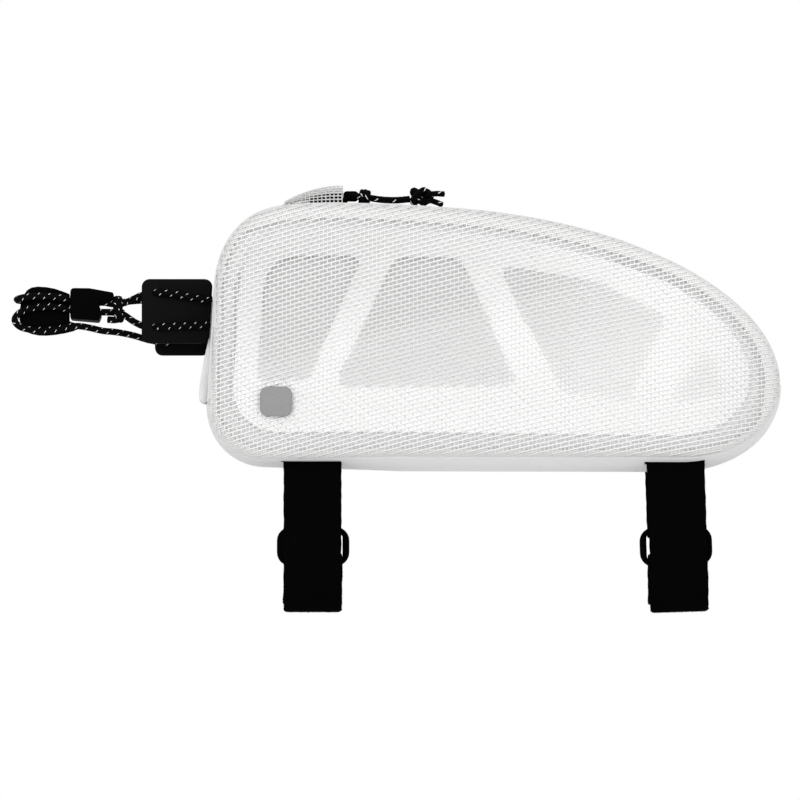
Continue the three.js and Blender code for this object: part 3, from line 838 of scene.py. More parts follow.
class Repeats:
    """Geometry node trees that repeat a small piece, and their use."""

    @staticmethod
    def _start(name: str, **sizes: str) -> Nodes:
        """Starts a tree that repeats a piece, its sizes given as socket types by name."""
        inputs = {"Geometry": "Geometry", "Piece": "Object", **sizes, "Material": "Material"}
        return Nodes.group(name, "GeometryNodeTree", inputs, {"Geometry": "Geometry"})

    @staticmethod
    def _close(
        nodes: Nodes, points: bpy.types.NodeSocket, **turns: bpy.types.NodeSocket
    ) -> bpy.types.NodeTree:
        """Ends a tree: the piece on every point, made real and given its material.

        Args:
            nodes: The tree's nodes.
            points: Where the copies go.
            turns: Their Rotation and Scale, where they have them.

        Returns:
            The tree.
        """
        piece = nodes.add("GeometryNodeObjectInfo", {"Object": nodes.source["Piece"]}).outputs["Geometry"]
        copies = nodes.add("GeometryNodeInstanceOnPoints", {"Points": points, "Instance": piece, **turns})
        real = nodes.add("GeometryNodeRealizeInstances", {"Geometry": copies.outputs["Instances"]})
        dressed = {"Geometry": real.outputs["Geometry"], "Material": nodes.source["Material"]}
        painted = nodes.add("GeometryNodeSetMaterial", dressed)
        nodes.feed(nodes.target["Geometry"], painted.outputs["Geometry"])
        return nodes.tree

    @classmethod
    def grid_tree(cls) -> bpy.types.NodeTree:
        """The tree that lays a piece out in rows and columns.

        Returns:
            The tree, made once.
        """
        found = bpy.data.node_groups.get("RepeatGrid")
        if found:
            return found
        nodes = cls._start("RepeatGrid", Columns="Int", Rows="Int", Width="Float", Height="Float")
        sizes = {"Vertices X": "Columns", "Vertices Y": "Rows", "Size X": "Width", "Size Y": "Height"}
        grid = nodes.add("GeometryNodeMeshGrid", {to: nodes.source[name] for to, name in sizes.items()})
        return cls._close(nodes, grid.outputs["Mesh"])

    @classmethod
    def line_tree(cls) -> bpy.types.NodeTree:
        """The tree that repeats a piece along a line of edges.

        Returns:
            The tree, made once.
        """
        found = bpy.data.node_groups.get("RepeatAlong")
        if found:
            return found
        nodes = cls._start("RepeatAlong", Spacing="Float")
        curve = nodes.add("GeometryNodeMeshToCurve", {"Mesh": nodes.source["Geometry"]}).outputs["Curve"]
        spaced = {"Curve": curve, "Length": nodes.source["Spacing"]}
        points = nodes.add("GeometryNodeCurveToPoints", spaced, mode="LENGTH").outputs
        turn = nodes.add("FunctionNodeAlignRotationToVector", {"Vector": points["Tangent"]}, axis="X")
        return cls._close(nodes, points["Points"], Rotation=turn.outputs["Rotation"])

    @classmethod
    def scatter_tree(cls) -> bpy.types.NodeTree:
        """The tree that scatters a piece over faces, each one leaning its own way.

        Returns:
            The tree, made once.
        """
        found = bpy.data.node_groups.get("ScatterOver")
        if found:
            return found
        least, most = 0.4, 1.0
        nodes = cls._start("ScatterOver", Density="Float", Lean="Float")
        spread = {"Mesh": nodes.source["Geometry"], "Density": nodes.source["Density"], "Seed": SEED}
        points = nodes.add("GeometryNodeDistributePointsOnFaces", spread).outputs
        lean = nodes.source["Lean"]
        leans = {"Min": nodes.math("MULTIPLY", lean, -1.0), "Max": lean, "Seed": SEED}
        swing = nodes.add("FunctionNodeRandomValue", leans, data_type="FLOAT_VECTOR").outputs["Value"]
        turned = {"Rotation": points["Rotation"], "Rotate By": swing}
        turn = nodes.add("FunctionNodeRotateRotation", turned, rotation_space="LOCAL").outputs["Rotation"]
        sizes = {"Min": least, "Max": most, "Seed": SEED}
        size = nodes.add("FunctionNodeRandomValue", sizes, data_type="FLOAT").outputs["Value"]
        return cls._close(nodes, points["Points"], Rotation=turn, Scale=size)

    @staticmethod
    def run(
        base: Form, tree: bpy.types.NodeTree, piece: Form, finish: Finish, **values: float
    ) -> bpy.types.Mesh:
        """Runs a tree on a base form.

        Args:
            base: What the tree works on.
            tree: The tree.
            piece: The piece that repeats.
            finish: Its finish.
            values: The tree's other inputs, by name.

        Returns:
            The mesh that the tree makes.
        """
        holder = base.object("repeat_base", finish)
        small = piece.object("repeat_piece", finish)
        given = {"Piece": small, "Material": finish.material(), **values}
        modifier = holder.modifiers.new("Repeat", "NODES")
        modifier.node_group = tree
        for item in tree.interface.items_tree:
            if item.in_out == "INPUT" and item.name in given:
                modifier[item.identifier] = given[item.name]
        bpy.context.view_layer.update()
        graph = bpy.context.evaluated_depsgraph_get()
        mesh = bpy.data.meshes.new_from_object(holder.evaluated_get(graph))
        bpy.data.objects.remove(holder)
        bpy.data.objects.remove(small)
        return mesh

    @classmethod
    def along(
        cls, line: np.ndarray, piece: Form, spacing: float, finish: Finish, name: str
    ) -> bpy.types.Object:
        """Repeats a piece along a line.

        Args:
            line: The line's points.
            piece: The piece, with its length along X.
            spacing: Distance from piece to piece.
            finish: Its finish.
            name: Object name.

        Returns:
            The object with all the copies.
        """
        wire = Form(line, [], edges=[(i, i + 1) for i in range(len(line) - 1)])
        return linked(name, cls.run(wire, cls.line_tree(), piece, finish, Spacing=spacing * MM))

    @classmethod
    def over(
        cls, base: Form, piece: Form, density: float, lean: float, finish: Finish, name: str
    ) -> bpy.types.Object:
        """Scatters a piece over a form.

        Args:
            base: The form.
            piece: The piece, standing along Z.
            density: Copies per square millimetre.
            lean: Largest lean, in radians.
            finish: Its finish.
            name: Object name.

        Returns:
            The object with all the copies.
        """
        mesh = cls.run(base, cls.scatter_tree(), piece, finish, Density=density / MM**2, Lean=lean)
        return linked(name, mesh)


# The seam and the surfaces sewn to it


@dataclass(frozen=True)
class Stretch:
    """One stretch of the side seam.

    Attributes:
        to: Where it ends.
        handles: Bezier handles, or none for a straight run.
        swell: How far the gusset stands out at its middle, at the start and at the end.
    """

    to: FlatPlace
    handles: tuple[FlatPlace, ...] = ()
    swell: FlatPlace = (1.0, 1.0)


SEAM_START = (-123.5, 28.0)
SEAM = {
    "low_front": Stretch((-98, 3.2), ((-123.9, 13), (-112, 3)), (1, 0.4)),
    "bottom_front": Stretch((-40, 4.3), ((-85, 2.6), (-60, 4.2)), (0.4, 4)),
    "bottom": Stretch((84, 4), (), (4, 4)),
    "low_nose": Stretch((125.3, 36), ((106, 4), (125.3, 16)), (4, 1)),
    "high_nose": Stretch((66, 95.2), ((125.3, 64), (92.5, 84.8))),
    "top_slope": Stretch((-18, 113.2), ((41, 105.9), (8, 111.6))),
    "top_flat": Stretch((-90, 114.4), ((-42, 114.9), (-70, 116.3))),
    "high_front": Stretch((-120.6, 80), ((-105, 113.2), (-119, 103))),
    "front": Stretch(SEAM_START),
}
UNDERSIDE = ("low_front", "bottom_front", "bottom", "low_nose")
TOP = ("top_slope", "top_flat")
SPINE = np.array([[-70.0, 58.0], [72.0, 44.0]])


@dataclass
class SeamLine:
    """Part of the seam, sampled evenly.

    Attributes:
        at: Places in the X-Z plane.
        normal: Outward directions.
        swell: How far the gusset stands out at its middle.
        along: Distance from the start.
    """

    EASE: ClassVar[float] = 1.6
    at: np.ndarray
    normal: np.ndarray
    swell: np.ndarray
    along: np.ndarray

    @classmethod
    def of(cls, names: Sequence[str], step: float) -> SeamLine:
        """Samples stretches of the seam.

        Args:
            names: Stretches, in order.
            step: Distance between samples.

        Returns:
            The sampled line.
        """
        order = list(SEAM)
        path = FlatPath(SEAM[order[order.index(names[0]) - 1]].to)
        swell_at = [0.0]
        swell = [SEAM[names[0]].swell[0]]
        for name in names:
            stretch = SEAM[name]
            first, last = stretch.swell
            before = travelled(np.array(path.points))[-1]
            if stretch.handles:
                path.curve(*stretch.handles, stretch.to)
            else:
                path.line(stretch.to)
            after = travelled(np.array(path.points))[-1]
            for share in np.linspace(0.1, 1, 10):
                swell_at.append(before + (after - before) * share)
                eased = share if last > first else 1 - (1 - share) ** cls.EASE
                swell.append(first + (last - first) * eased)
        at = path.sampled(step)
        along = travelled(at)
        tangent = directions(at)
        normal = np.column_stack([tangent[:, 1], -tangent[:, 0]])
        return cls(at, normal, np.interp(along, swell_at, swell), along)

    def surface(self, along: np.ndarray, y: np.ndarray, lift: np.ndarray | float) -> np.ndarray:
        """Places on the gusset.

        Args:
            along: Distances along the seam.
            y: Distances across.
            lift: Distances out of the gusset's face.

        Returns:
            One row of three numbers per place.
        """
        share = 1 - ramp(np.abs(y), ZIP_HALF, GUSSET_HALF - GAP) ** 2
        out = np.interp(along, self.along, self.swell) * share + lift
        columns = (*self.at.T, *self.normal.T)
        x, z, nx, nz = (np.interp(along, self.along, column) for column in columns)
        return np.stack([x + nx * out, y, z + nz * out], axis=-1)

    def wall(self, along: np.ndarray, y: np.ndarray, face: float, thick: float) -> Form:
        """A piece of gusset.

        Args:
            along: Distances along the seam.
            y: Distances across.
            face: Offset of its outer face.
            thick: Its wall.

        Returns:
            The closed piece.
        """
        along, y = np.meshgrid(along, y, indexing="ij")
        return slab(self.surface(along, y, face), self.surface(along, y, face - thick))

    def sheet(self, low: float, high: float, face: float, thick: float, rows: int) -> Form:
        """A strip of gusset from end to end.

        Args:
            low: Lowest Y.
            high: Highest Y.
            face: Offset of its outer face.
            thick: Its wall.
            rows: Points across.

        Returns:
            The closed strip.
        """
        ends = np.clip(self.along, GAP / 2, self.along[-1] - GAP / 2)
        return self.wall(ends, np.linspace(low, high, rows), face, thick)


class PanelShape:
    """The crowned surface of a side panel, over the X-Z plane."""

    RIM: ClassVar[float] = 0.11
    RIM_OUT: ClassVar[float] = 6.0
    CROWN: ClassVar[float] = 1.5
    FLAT: ClassVar[float] = 0.88
    BLOCK: ClassVar[int] = 6000

    def __init__(self) -> None:
        """Samples the whole seam once."""
        self.loop = SeamLine.of(list(SEAM), 2.5).at[:-1]

    @staticmethod
    def foot(places: np.ndarray) -> np.ndarray:
        """Nearest places on the spine.

        Args:
            places: Places in the X-Z plane.

        Returns:
            One place per row.
        """
        span = SPINE[1] - SPINE[0]
        share = np.clip((places - SPINE[0]) @ span / span.dot(span), 0, 1)
        return SPINE[0] + share[:, None] * span

    def inward(self, places: np.ndarray) -> np.ndarray:
        """How far in from the seam places lie, as a share of the way to the spine.

        Args:
            places: Places in the X-Z plane.

        Returns:
            One share per place, below 0 outside the seam.
        """
        tiny, far = 1e-12, 1e6
        shares = []
        edge = np.roll(self.loop, -1, axis=0) - self.loop
        for block in np.array_split(places, max(1, len(places) // self.BLOCK)):
            foot = self.foot(block)
            ray = block - foot
            start = self.loop[None] - foot[:, None]
            turn = ray[:, None, 0] * edge[None, :, 1] - ray[:, None, 1] * edge[None, :, 0]
            turn = np.where(np.abs(turn) < tiny, tiny, turn)
            along = (start[..., 0] * edge[None, :, 1] - start[..., 1] * edge[None, :, 0]) / turn
            share = (start[..., 0] * ray[:, None, 1] - start[..., 1] * ray[:, None, 0]) / turn
            hit = (along > 0) & (share >= 0) & (share <= 1)
            shares.append(1 - 1 / np.where(hit, along, far).min(axis=1))
        return np.concatenate(shares)

    def out(self, inward: np.ndarray) -> np.ndarray:
        """How far the panel stands out of the seam's plane.

        Args:
            inward: Shares of the way to the spine.

        Returns:
            One distance per share.
        """
        rim = np.clip(1 - inward / self.RIM, 0, 1)
        crown = ramp(inward, self.FLAT, self.RIM)
        return self.RIM_OUT * np.sqrt(1 - rim**2) + self.CROWN * np.where(inward > self.RIM, 1 - crown**2, 0)

    def place(self, side: Side, places: np.ndarray, lift: np.ndarray | float) -> np.ndarray:
        """Puts places onto a side panel.

        Args:
            side: Which panel.
            places: Places in the X-Z plane.
            lift: Distances out of its face.

        Returns:
            One row of three numbers per place.
        """
        out = self.out(np.clip(self.inward(places), 0, 1)) + lift
        return np.column_stack([places[:, 0], side.value * (GUSSET_HALF + out), places[:, 1]])

    def ring(self, side: Side, inward: np.ndarray, lift: float) -> np.ndarray:
        """A ring of a panel.

        Args:
            side: Which panel.
            inward: Its share of the way to the spine, at each place of the seam.
            lift: Distance out of the panel's face.

        Returns:
            The ring's points.
        """
        flat = self.loop + (self.foot(self.loop) - self.loop) * inward[:, None]
        y = side.value * (GUSSET_HALF + self.out(inward) + lift)
        return np.column_stack([flat[:, 0], y, flat[:, 1]])

    def band(self, side: Side, shares: Sequence[float], lift: float, wide: np.ndarray | float = 1.0) -> Form:
        """A closed band of a panel between rings.

        Args:
            side: Which panel.
            shares: The rings.
            lift: Distance out of the panel's face.
            wide: Factor on the band's width, at each place of the seam.

        Returns:
            The band, one layer thick.
        """
        factor = np.broadcast_to(wide, len(self.loop))
        rings = [self.ring(side, share * factor, lift) for share in shares]
        faces = grid_faces(len(rings), len(self.loop), wrap=True)
        if side is Side.FAR:
            faces = [tuple(reversed(face)) for face in faces]
        return Form(np.vstack(rings), faces)


# Woven mesh


@dataclass(frozen=True)
class Weave:
    """An open mesh of level rows, joined by links that show in every second opening, as bricks do.

    Attributes:
        row_pitch: Distance from row to row.
        link_pitch: Distance from link to link.
        row_half: Half the width of a row's yarn.
        link_half: Half the width of a link's yarn.
        row_rise: Height of the rows over the middle of the cloth.
        link_rise: Height of a link where it shows.
        link_sink: Depth of a link where it runs behind.
        link_turn: Share of a row's pitch in which a link changes its height.
        flatness: Height of a yarn, as a share of its width.
    """

    row_pitch: float = 1.92
    link_pitch: float = 1.78
    row_half: float = 0.38
    link_half: float = 0.27
    row_rise: float = 0.1
    link_rise: float = 0.05
    link_sink: float = 0.25
    link_turn: float = 0.12
    flatness: float = 0.55

    def yarn(self, line: np.ndarray, half: float, across: int) -> Form:
        """A flat, four-sided yarn.

        Args:
            line: Its centreline.
            half: Half its width.
            across: Which axis its width lies on.

        Returns:
            The yarn, open at its ends.
        """
        wide = np.zeros(3)
        wide[across] = half
        tall = np.array([0.0, 0.0, half * self.flatness])
        corners = np.array([wide, tall, -wide, -tall])
        return Form((line[:, None] + corners[None]).reshape(-1, 3), grid_faces(len(line), 4, wrap=True))

    def cell(self) -> Form:
        """One repeat of the weave: two rows and two lines of links.

        Returns:
            The cell, with its first crossing at the origin.
        """
        turn = self.link_turn
        heights = np.array([turn, 1 - turn, 1 + turn, 2 - turn, 2 + turn]) * self.row_pitch
        ends = np.arange(3) * self.link_pitch
        yarns = []
        for i in range(2):
            row = np.column_stack([ends, np.full(3, i * self.row_pitch), np.full(3, self.row_rise)])
            yarns.append(self.yarn(row, self.row_half, 1))
            shown, hidden = (self.link_rise, -self.link_sink)[:: 1 - 2 * i]
            levels = np.array([shown, shown, hidden, hidden, shown])
            link = np.column_stack([np.full(5, i * self.link_pitch), heights, levels])
            yarns.append(self.yarn(link, self.link_half, 0))
        return joined(yarns)

    def patch(self, low: FlatPlace, high: FlatPlace) -> tuple[np.ndarray, np.ndarray]:
        """A flat patch of the weave.

        Args:
            low: Its lowest corner.
            high: Its highest corner.

        Returns:
            Its points and its faces.
        """
        wide, tall = 2 * self.link_pitch, 2 * self.row_pitch
        columns = int((high[0] - low[0]) / wide) + 2
        rows = int((high[1] - low[1]) / tall) + 2
        width, height = (columns - 1) * wide, (rows - 1) * tall
        sizes = {"Columns": columns, "Rows": rows, "Width": width * MM, "Height": height * MM}
        start = Form(np.zeros((1, 3)), [])
        mesh = Repeats.run(start, Repeats.grid_tree(), self.cell(), YARN, **sizes)
        points, corners = points_of(mesh), corners_of(mesh)
        bpy.data.meshes.remove(mesh)
        points[:, 0] += low[0] + width / 2
        points[:, 1] += low[1] + height / 2
        return points, corners.reshape(-1, 4)

    def draped(self, low: FlatPlace, high: FlatPlace, keep: Laying, lay: Laying) -> Form:
        """A patch cut to a shape and laid on a surface.

        Args:
            low: Lowest corner of the patch.
            high: Highest corner of the patch.
            keep: Tells which flat points stay.
            lay: Puts flat points onto the surface.

        Returns:
            The woven piece, its shade set by how deep each yarn lies.
        """
        points, faces = self.patch(low, high)
        flat = Form(points, faces[keep(points)[faces].all(axis=1)]).trimmed()
        sunk = ramp(flat.points[:, 2], self.link_rise, -self.link_sink)
        return Form(lay(flat.points), flat.faces, shade=sunk * sunk * (3 - 2 * sunk))


# Sub-assemblies


class Maker:
    """What every sub-assembly does with a finished piece."""

    @staticmethod
    def fix(piece: bpy.types.Object, slot: Slot, *nodes: str) -> bpy.types.Object:
        """Hands a piece to the frame and reports it.

        Args:
            piece: The piece.
            slot: The record's slot for it.
            nodes: The nodes it stands for.

        Returns:
            The piece.
        """
        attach(piece, BODY)
        if nodes:
            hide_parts(*nodes)
        LOG.info("%s: %d faces, %s", piece.name, len(piece.data.polygons), slot.value)
        return piece

    @staticmethod
    def rounded(node: str, name: str, finish: Finish, width: float, segments: int) -> bpy.types.Object:
        """A copy of a node with its edges rounded.

        Args:
            node: The node.
            name: Object name.
            finish: Its finish.
            width: How much of an edge is rounded.
            segments: Steps of the rounding.

        Returns:
            The new object.
        """
        same, level, sharp, shaded = 1e-6, 0.02, math.radians(38), math.radians(40)
        mesh = bpy.data.objects[node].data.copy()
        build = bmesh.new()
        build.from_mesh(mesh)
        bmesh.ops.remove_doubles(build, verts=build.verts, dist=same)
        bmesh.ops.dissolve_limit(build, angle_limit=level, verts=build.verts, edges=build.edges)
        edges = [e for e in build.edges if len(e.link_faces) == 2 and e.calc_face_angle(0.0) > sharp]
        bmesh.ops.bevel(
            build,
            geom=edges,
            offset=width * MM,
            offset_type="OFFSET",
            segments=segments,
            profile=0.5,
            affect="EDGES",
            clamp_overlap=True,
        )
        build.to_mesh(mesh)
        build.free()
        mesh.materials.clear()
        mesh.materials.append(finish.material())
        mesh.set_sharp_from_angle(angle=shaded)
        return linked(name, mesh)

    @staticmethod
    def cord(
        cord: bpy.types.Object, line: np.ndarray, diameter: float, pieces: Sequence[bpy.types.Object]
    ) -> None:
        """Takes a cord and does nothing with it.

        Args:
            cord: The cord; not used.
            line: Its centreline; not used.
            diameter: Its thickness; not used.
            pieces: What is on it; not used.
        """


@dataclass
class MeshBody(Maker):
    """The bag's walls: woven sides and gusset, foam trusses, lining, smooth bottom and label.

    Shares of the way from the seam to the spine are called inward.

    Attributes:
        weave: The cloth of the sides and the gusset.
        panel: The surface of the sides.
        row_slope: Rise of a side's rows along X.
        row_bend: How much of that rise is lost with the square of X.
        sides: Lowest and highest flat place of each side's patch of weave.
        seam_margin: Inward share that the weave keeps from the seam.
        roll_rings: Inward rings of the rolled rim.
        foam_spread: How far the foam's outer edge is drawn out, inward.
        foam_top_spread: The same along the flat top.
        foam_edge: Inward share where the foam's frame is sure to be passed.
        roll_shade: Shade of the yarn over the rolled rim.
        nose_shade: Shade of the yarn at the nose.
        veil: Shade of the yarn over windows low at the rear.
        window_shade: Shade of the lining in the middle of a window.
        lining_from: Inward share where the lining starts.
        lining_rings: Inward rings of the lining's edge.
        label_at: Middle of the label in the X-Z plane.
        label_size: Its width and height.
    """

    weave: Weave = field(default_factory=Weave)
    panel: PanelShape = field(default_factory=PanelShape)
    row_slope: float = 0.241
    row_bend: float = 0.000271
    sides: dict[Side, tuple[FlatPlace, FlatPlace]] = field(
        default_factory=lambda: {Side.NEAR: ((-125, -24), (127, 152)), Side.FAR: ((-125, -36), (127, 144))}
    )
    seam_margin: float = 0.004
    roll_rings: tuple[float, ...] = (0.0, 0.004, 0.012, 0.025, 0.042, 0.06, 0.078, 0.096, 0.114, 0.128)
    foam_spread: float = 0.03
    foam_top_spread: float = 0.053
    foam_edge: float = 0.27
    roll_shade: float = 0.45
    nose_shade: float = 0.13
    veil: float = 0.3
    window_shade: float = 0.18
    lining_from: float = 0.16
    lining_rings: tuple[float, ...] = (0.03, 0.06, 0.11, 0.16, 0.24)
    label_at: FlatPlace = (-93.8, 27.8)
    label_size: FlatPlace = (14.1, 13.0)

    def build(self) -> None:
        """Makes every wall."""
        for side in Side:
            foam = self.stiffener(side)
            self.side_panel(side, foam)
            self.rim(side)
            if side is Side.NEAR:
                self.lining(foam)
        self.gusset()
        self.bottom()
        self.label()

    @staticmethod
    def high_share(points: np.ndarray) -> np.ndarray:
        """How far up a side's places lie, from 0, low at the rear, to 1, high at the front."""
        return ramp(points[:, 2] - 0.25 * points[:, 0], 30, 100)

    @staticmethod
    def top_share(points: np.ndarray) -> np.ndarray:
        """How near a side's places lie to the flat top, from 0, low or at the nose, to 1, along the top."""
        return ramp(points[:, 2], 80, 100) * ramp(points[:, 0], 75, 25)

    @staticmethod
    def backed(side: Side, foam: bpy.types.Object, points: np.ndarray) -> np.ndarray:
        """Tells which places of a side have foam behind them.

        Args:
            side: Which side.
            foam: Its truss.
            points: Places on the side.

        Returns:
            1 where there is foam, else 0.
        """
        reach = 0.008
        mesh = foam.data
        tree = BVHTree.FromPolygons([v.co for v in mesh.vertices], [p.vertices for p in mesh.polygons])
        aim = Vector((0.0, -side.value, 0.0))
        start = points * MM
        start[:, 1] += side.value * MM
        return np.array([tree.ray_cast(Vector(p), aim, reach)[0] is not None for p in start], dtype=float)

    def side_panel(self, side: Side, foam: bpy.types.Object) -> None:
        """A woven side, shaded by what lies behind it.

        Args:
            side: Which side.
            foam: The truss behind it.
        """

        def flat(points: np.ndarray) -> np.ndarray:
            """Slants the rows, up on the near side and down on the far side."""
            rise = -side.value * (self.row_slope * points[:, 0] - self.row_bend * points[:, 0] ** 2)
            return np.column_stack([points[:, 0], points[:, 1] + rise])

        def keep(points: np.ndarray) -> np.ndarray:
            """Keeps what lies inside the seam."""
            return self.panel.inward(flat(points)) > self.seam_margin

        def lay(points: np.ndarray) -> np.ndarray:
            """Lays flat points on the panel."""
            return self.panel.place(side, flat(points), points[:, 2] - 0.7 * MESH_WALL)

        form = self.weave.draped(*self.sides[side], keep, lay)
        form.shade = self.yarn_shade(form, 1 - self.backed(side, foam, form.points))
        self.fix(form.object(f"weave_{side.label}", YARN), Slot.MESH, f"side_panel_{side.label}")

    def yarn_shade(self, form: Form, bare: np.ndarray) -> np.ndarray:
        """Painted shade of a side's yarn: sunk links, windows, the rolled rim and the nose.

        Args:
            form: The woven side, its shade set by depth.
            bare: 1 where there is no foam behind it, else 0.

        Returns:
            One shade per point.
        """
        x, z = form.points[:, 0], form.points[:, 2]
        inward = self.panel.inward(form.points[:, [0, 2]])
        high = self.high_share(form.points)
        rolled = ramp(inward, 0.0605, 0.0055) * (1 - 0.6 * ramp(x, 40, 100))
        rolled *= np.maximum(ramp(z, -20, 40), 0.5)
        sunk = form.shade * (0.15 + 0.35 * high * bare)
        # Painted shade: the yarn over bare windows is darkened low down, much less near the rim and less
        # towards the rear end.
        veil = self.veil * bare * (1 - high) * np.where(inward > self.foam_edge, 1.0, 0.2)
        veil *= 1 - 0.5 * ramp(x, 10, 40)
        nose = self.nose_shade * ramp(x, 85, 115)
        return np.clip(np.maximum(sunk, veil) + self.roll_shade * rolled + nose, 0, 1)

    def rim(self, side: Side) -> None:
        """The rolled rim under a side's weave, narrower at the front and the bottom, with painted shade.

        Args:
            side: Which side.
        """
        x, z = self.panel.loop.T
        narrow = np.maximum(ramp(x, -100, -112), ramp(z, 30, 18))
        rim = self.panel.band(side, self.roll_rings, -MESH_WALL, 1 - 0.5 * narrow)
        # Painted shade: darker at the outer edge, at the bottom and at the front, where the rolled edge
        # turns from the light.
        outer = np.repeat(ramp(np.array(self.roll_rings), 0.075, 0.035), len(x))
        low, front = ramp(rim.points[:, 2], 25, 6.25), ramp(rim.points[:, 0], -95, -105)
        rim.shade = np.maximum.reduce([outer, low, front])
        self.fix(rim.object(f"rim_{side.label}", ROLLED_RIM), Slot.MESH)

    def stiffener(self, side: Side) -> bpy.types.Object:
        """A foam truss behind the weave, its outer edge drawn out towards the rim.

        Args:
            side: Which side.

        Returns:
            The truss.
        """
        node = f"stiffener_{side.label}"
        piece = self.rounded(node, f"foam_{side.label}", FOAM, width=0.5, segments=2)
        points = points_of(piece.data)
        flat = points[:, [0, 2]]
        inward = self.panel.inward(flat)
        top = self.top_share(points)
        spread = self.foam_spread * np.clip((95 - flat[:, 0]) / 40, -0.4, 1) * (1 - top)
        spread += self.foam_top_spread * top
        drawn = inward - spread * ramp(inward, 0.35, 0.23)
        foot = self.panel.foot(flat)
        points[:, [0, 2]] = foot + (flat - foot) * ((1 - drawn) / (1 - inward))[:, None]
        piece.data.vertices.foreach_set("co", (points * MM).ravel())
        self.fix(piece, Slot.FOAM, node)
        return piece

    def lining(self, foam: bpy.types.Object) -> None:
        """The pale lining inside the near truss, which rises into the windows low at the rear, with painted
        shade.

        Args:
            foam: The near truss.
        """
        behind = MESH_WALL + GAP + FOAM_WALL + GAP
        x, z = np.meshgrid(np.arange(-118, 121, 1.0), np.arange(8, 112, 1.0), indexing="ij")
        flat = np.column_stack([x.ravel(), z.ravel()])
        face = self.panel.place(Side.NEAR, flat, 0.0)
        bare = (1 - self.backed(Side.NEAR, foam, face)).reshape(x.shape)
        wide = soft = bare
        for axis in (0, 1):
            wide = np.maximum.reduce([wide, np.roll(wide, 1, axis), np.roll(wide, -1, axis)])
        for axis in (0, 1) * 3:
            soft = (soft + np.roll(soft, 2, axis) + np.roll(soft, -2, axis)) / 3
        soft = np.clip(2.4 * soft - 1.2, 0, 1).ravel()
        inward = self.panel.inward(flat)
        low = 1 - self.high_share(face)
        rise = np.clip(2.2 * low, 0, 1) * wide.ravel() * (behind - MESH_WALL - GAP - 0.1)
        rise *= inward > self.foam_edge
        inside = inward > self.lining_from
        # Painted shade: the lining is darkest towards the top, and in the low windows a little darker in the
        # middle than near the foam.
        form = Form(
            self.panel.place(Side.NEAR, flat, rise - behind),
            [quad for quad in grid_faces(*x.shape) if inside[list(quad)].all()],
            shade=1 - low**1.6 * (1 - self.window_shade * soft),
        )
        self.fix(form.trimmed().object("lining", LINING), Slot.SMOOTH)
        # The edge band's grey, darker towards the bottom, is painted shade.
        edge = self.panel.band(Side.NEAR, self.lining_rings, -behind - 0.3)
        edge.points[:, 1] -= 0.4 * (behind - MESH_WALL - 0.4) * self.top_share(edge.points)
        self.fix(edge.object("lining_edge", LINING_EDGE), Slot.SMOOTH)

    def gusset(self) -> None:
        """The woven front, rear and top strips."""
        edge, end_gap = GUSSET_HALF - GAP, 0.2
        strips = {
            "front_panel": (("high_front", "front"), -edge, edge),
            "rear_panel": (("high_nose",), -edge, edge),
            "top_panel_near": (TOP, -edge, -ZIP_HALF),
            "top_panel_far": (TOP, ZIP_HALF, edge),
        }
        for node, (names, low, high) in strips.items():
            line = SeamLine.of(names, 1.5)
            total = line.along[-1]

            def lay(points: np.ndarray, line: SeamLine = line) -> np.ndarray:
                """Lays flat points on the gusset."""
                return line.surface(points[:, 0], points[:, 1], points[:, 2] - MESH_WALL / 2)

            keep = within((end_gap, low), (total - end_gap, high))
            form = self.weave.draped((0.0, low), (total, high), keep, lay)
            form.shade *= 0.5
            self.fix(form.object(f"weave_{node}", YARN), Slot.MESH, node)

    def bottom(self) -> None:
        """The smooth bottom cloth."""
        edge = GUSSET_HALF - GAP
        form = SeamLine.of(UNDERSIDE, step=2.5).sheet(-edge, edge, face=0.0, thick=CLOTH_WALL, rows=25)
        self.fix(form.object("bottom_cloth", SMOOTH), Slot.SMOOTH, "bottom_panel")

    def label(self) -> None:
        """The blank grey label, laid on the near weave."""
        plate = rounded_plate(self.label_size, radius=3.6, thick=0.7, edge=0.3)
        flat = plate.points[:, :2] + np.array(self.label_at)
        points = self.panel.place(Side.NEAR, flat, plate.points[:, 2] + 0.65)
        self.fix(Form(points, plate.faces).object("label_plate", LABEL), Slot.LABEL, "label")


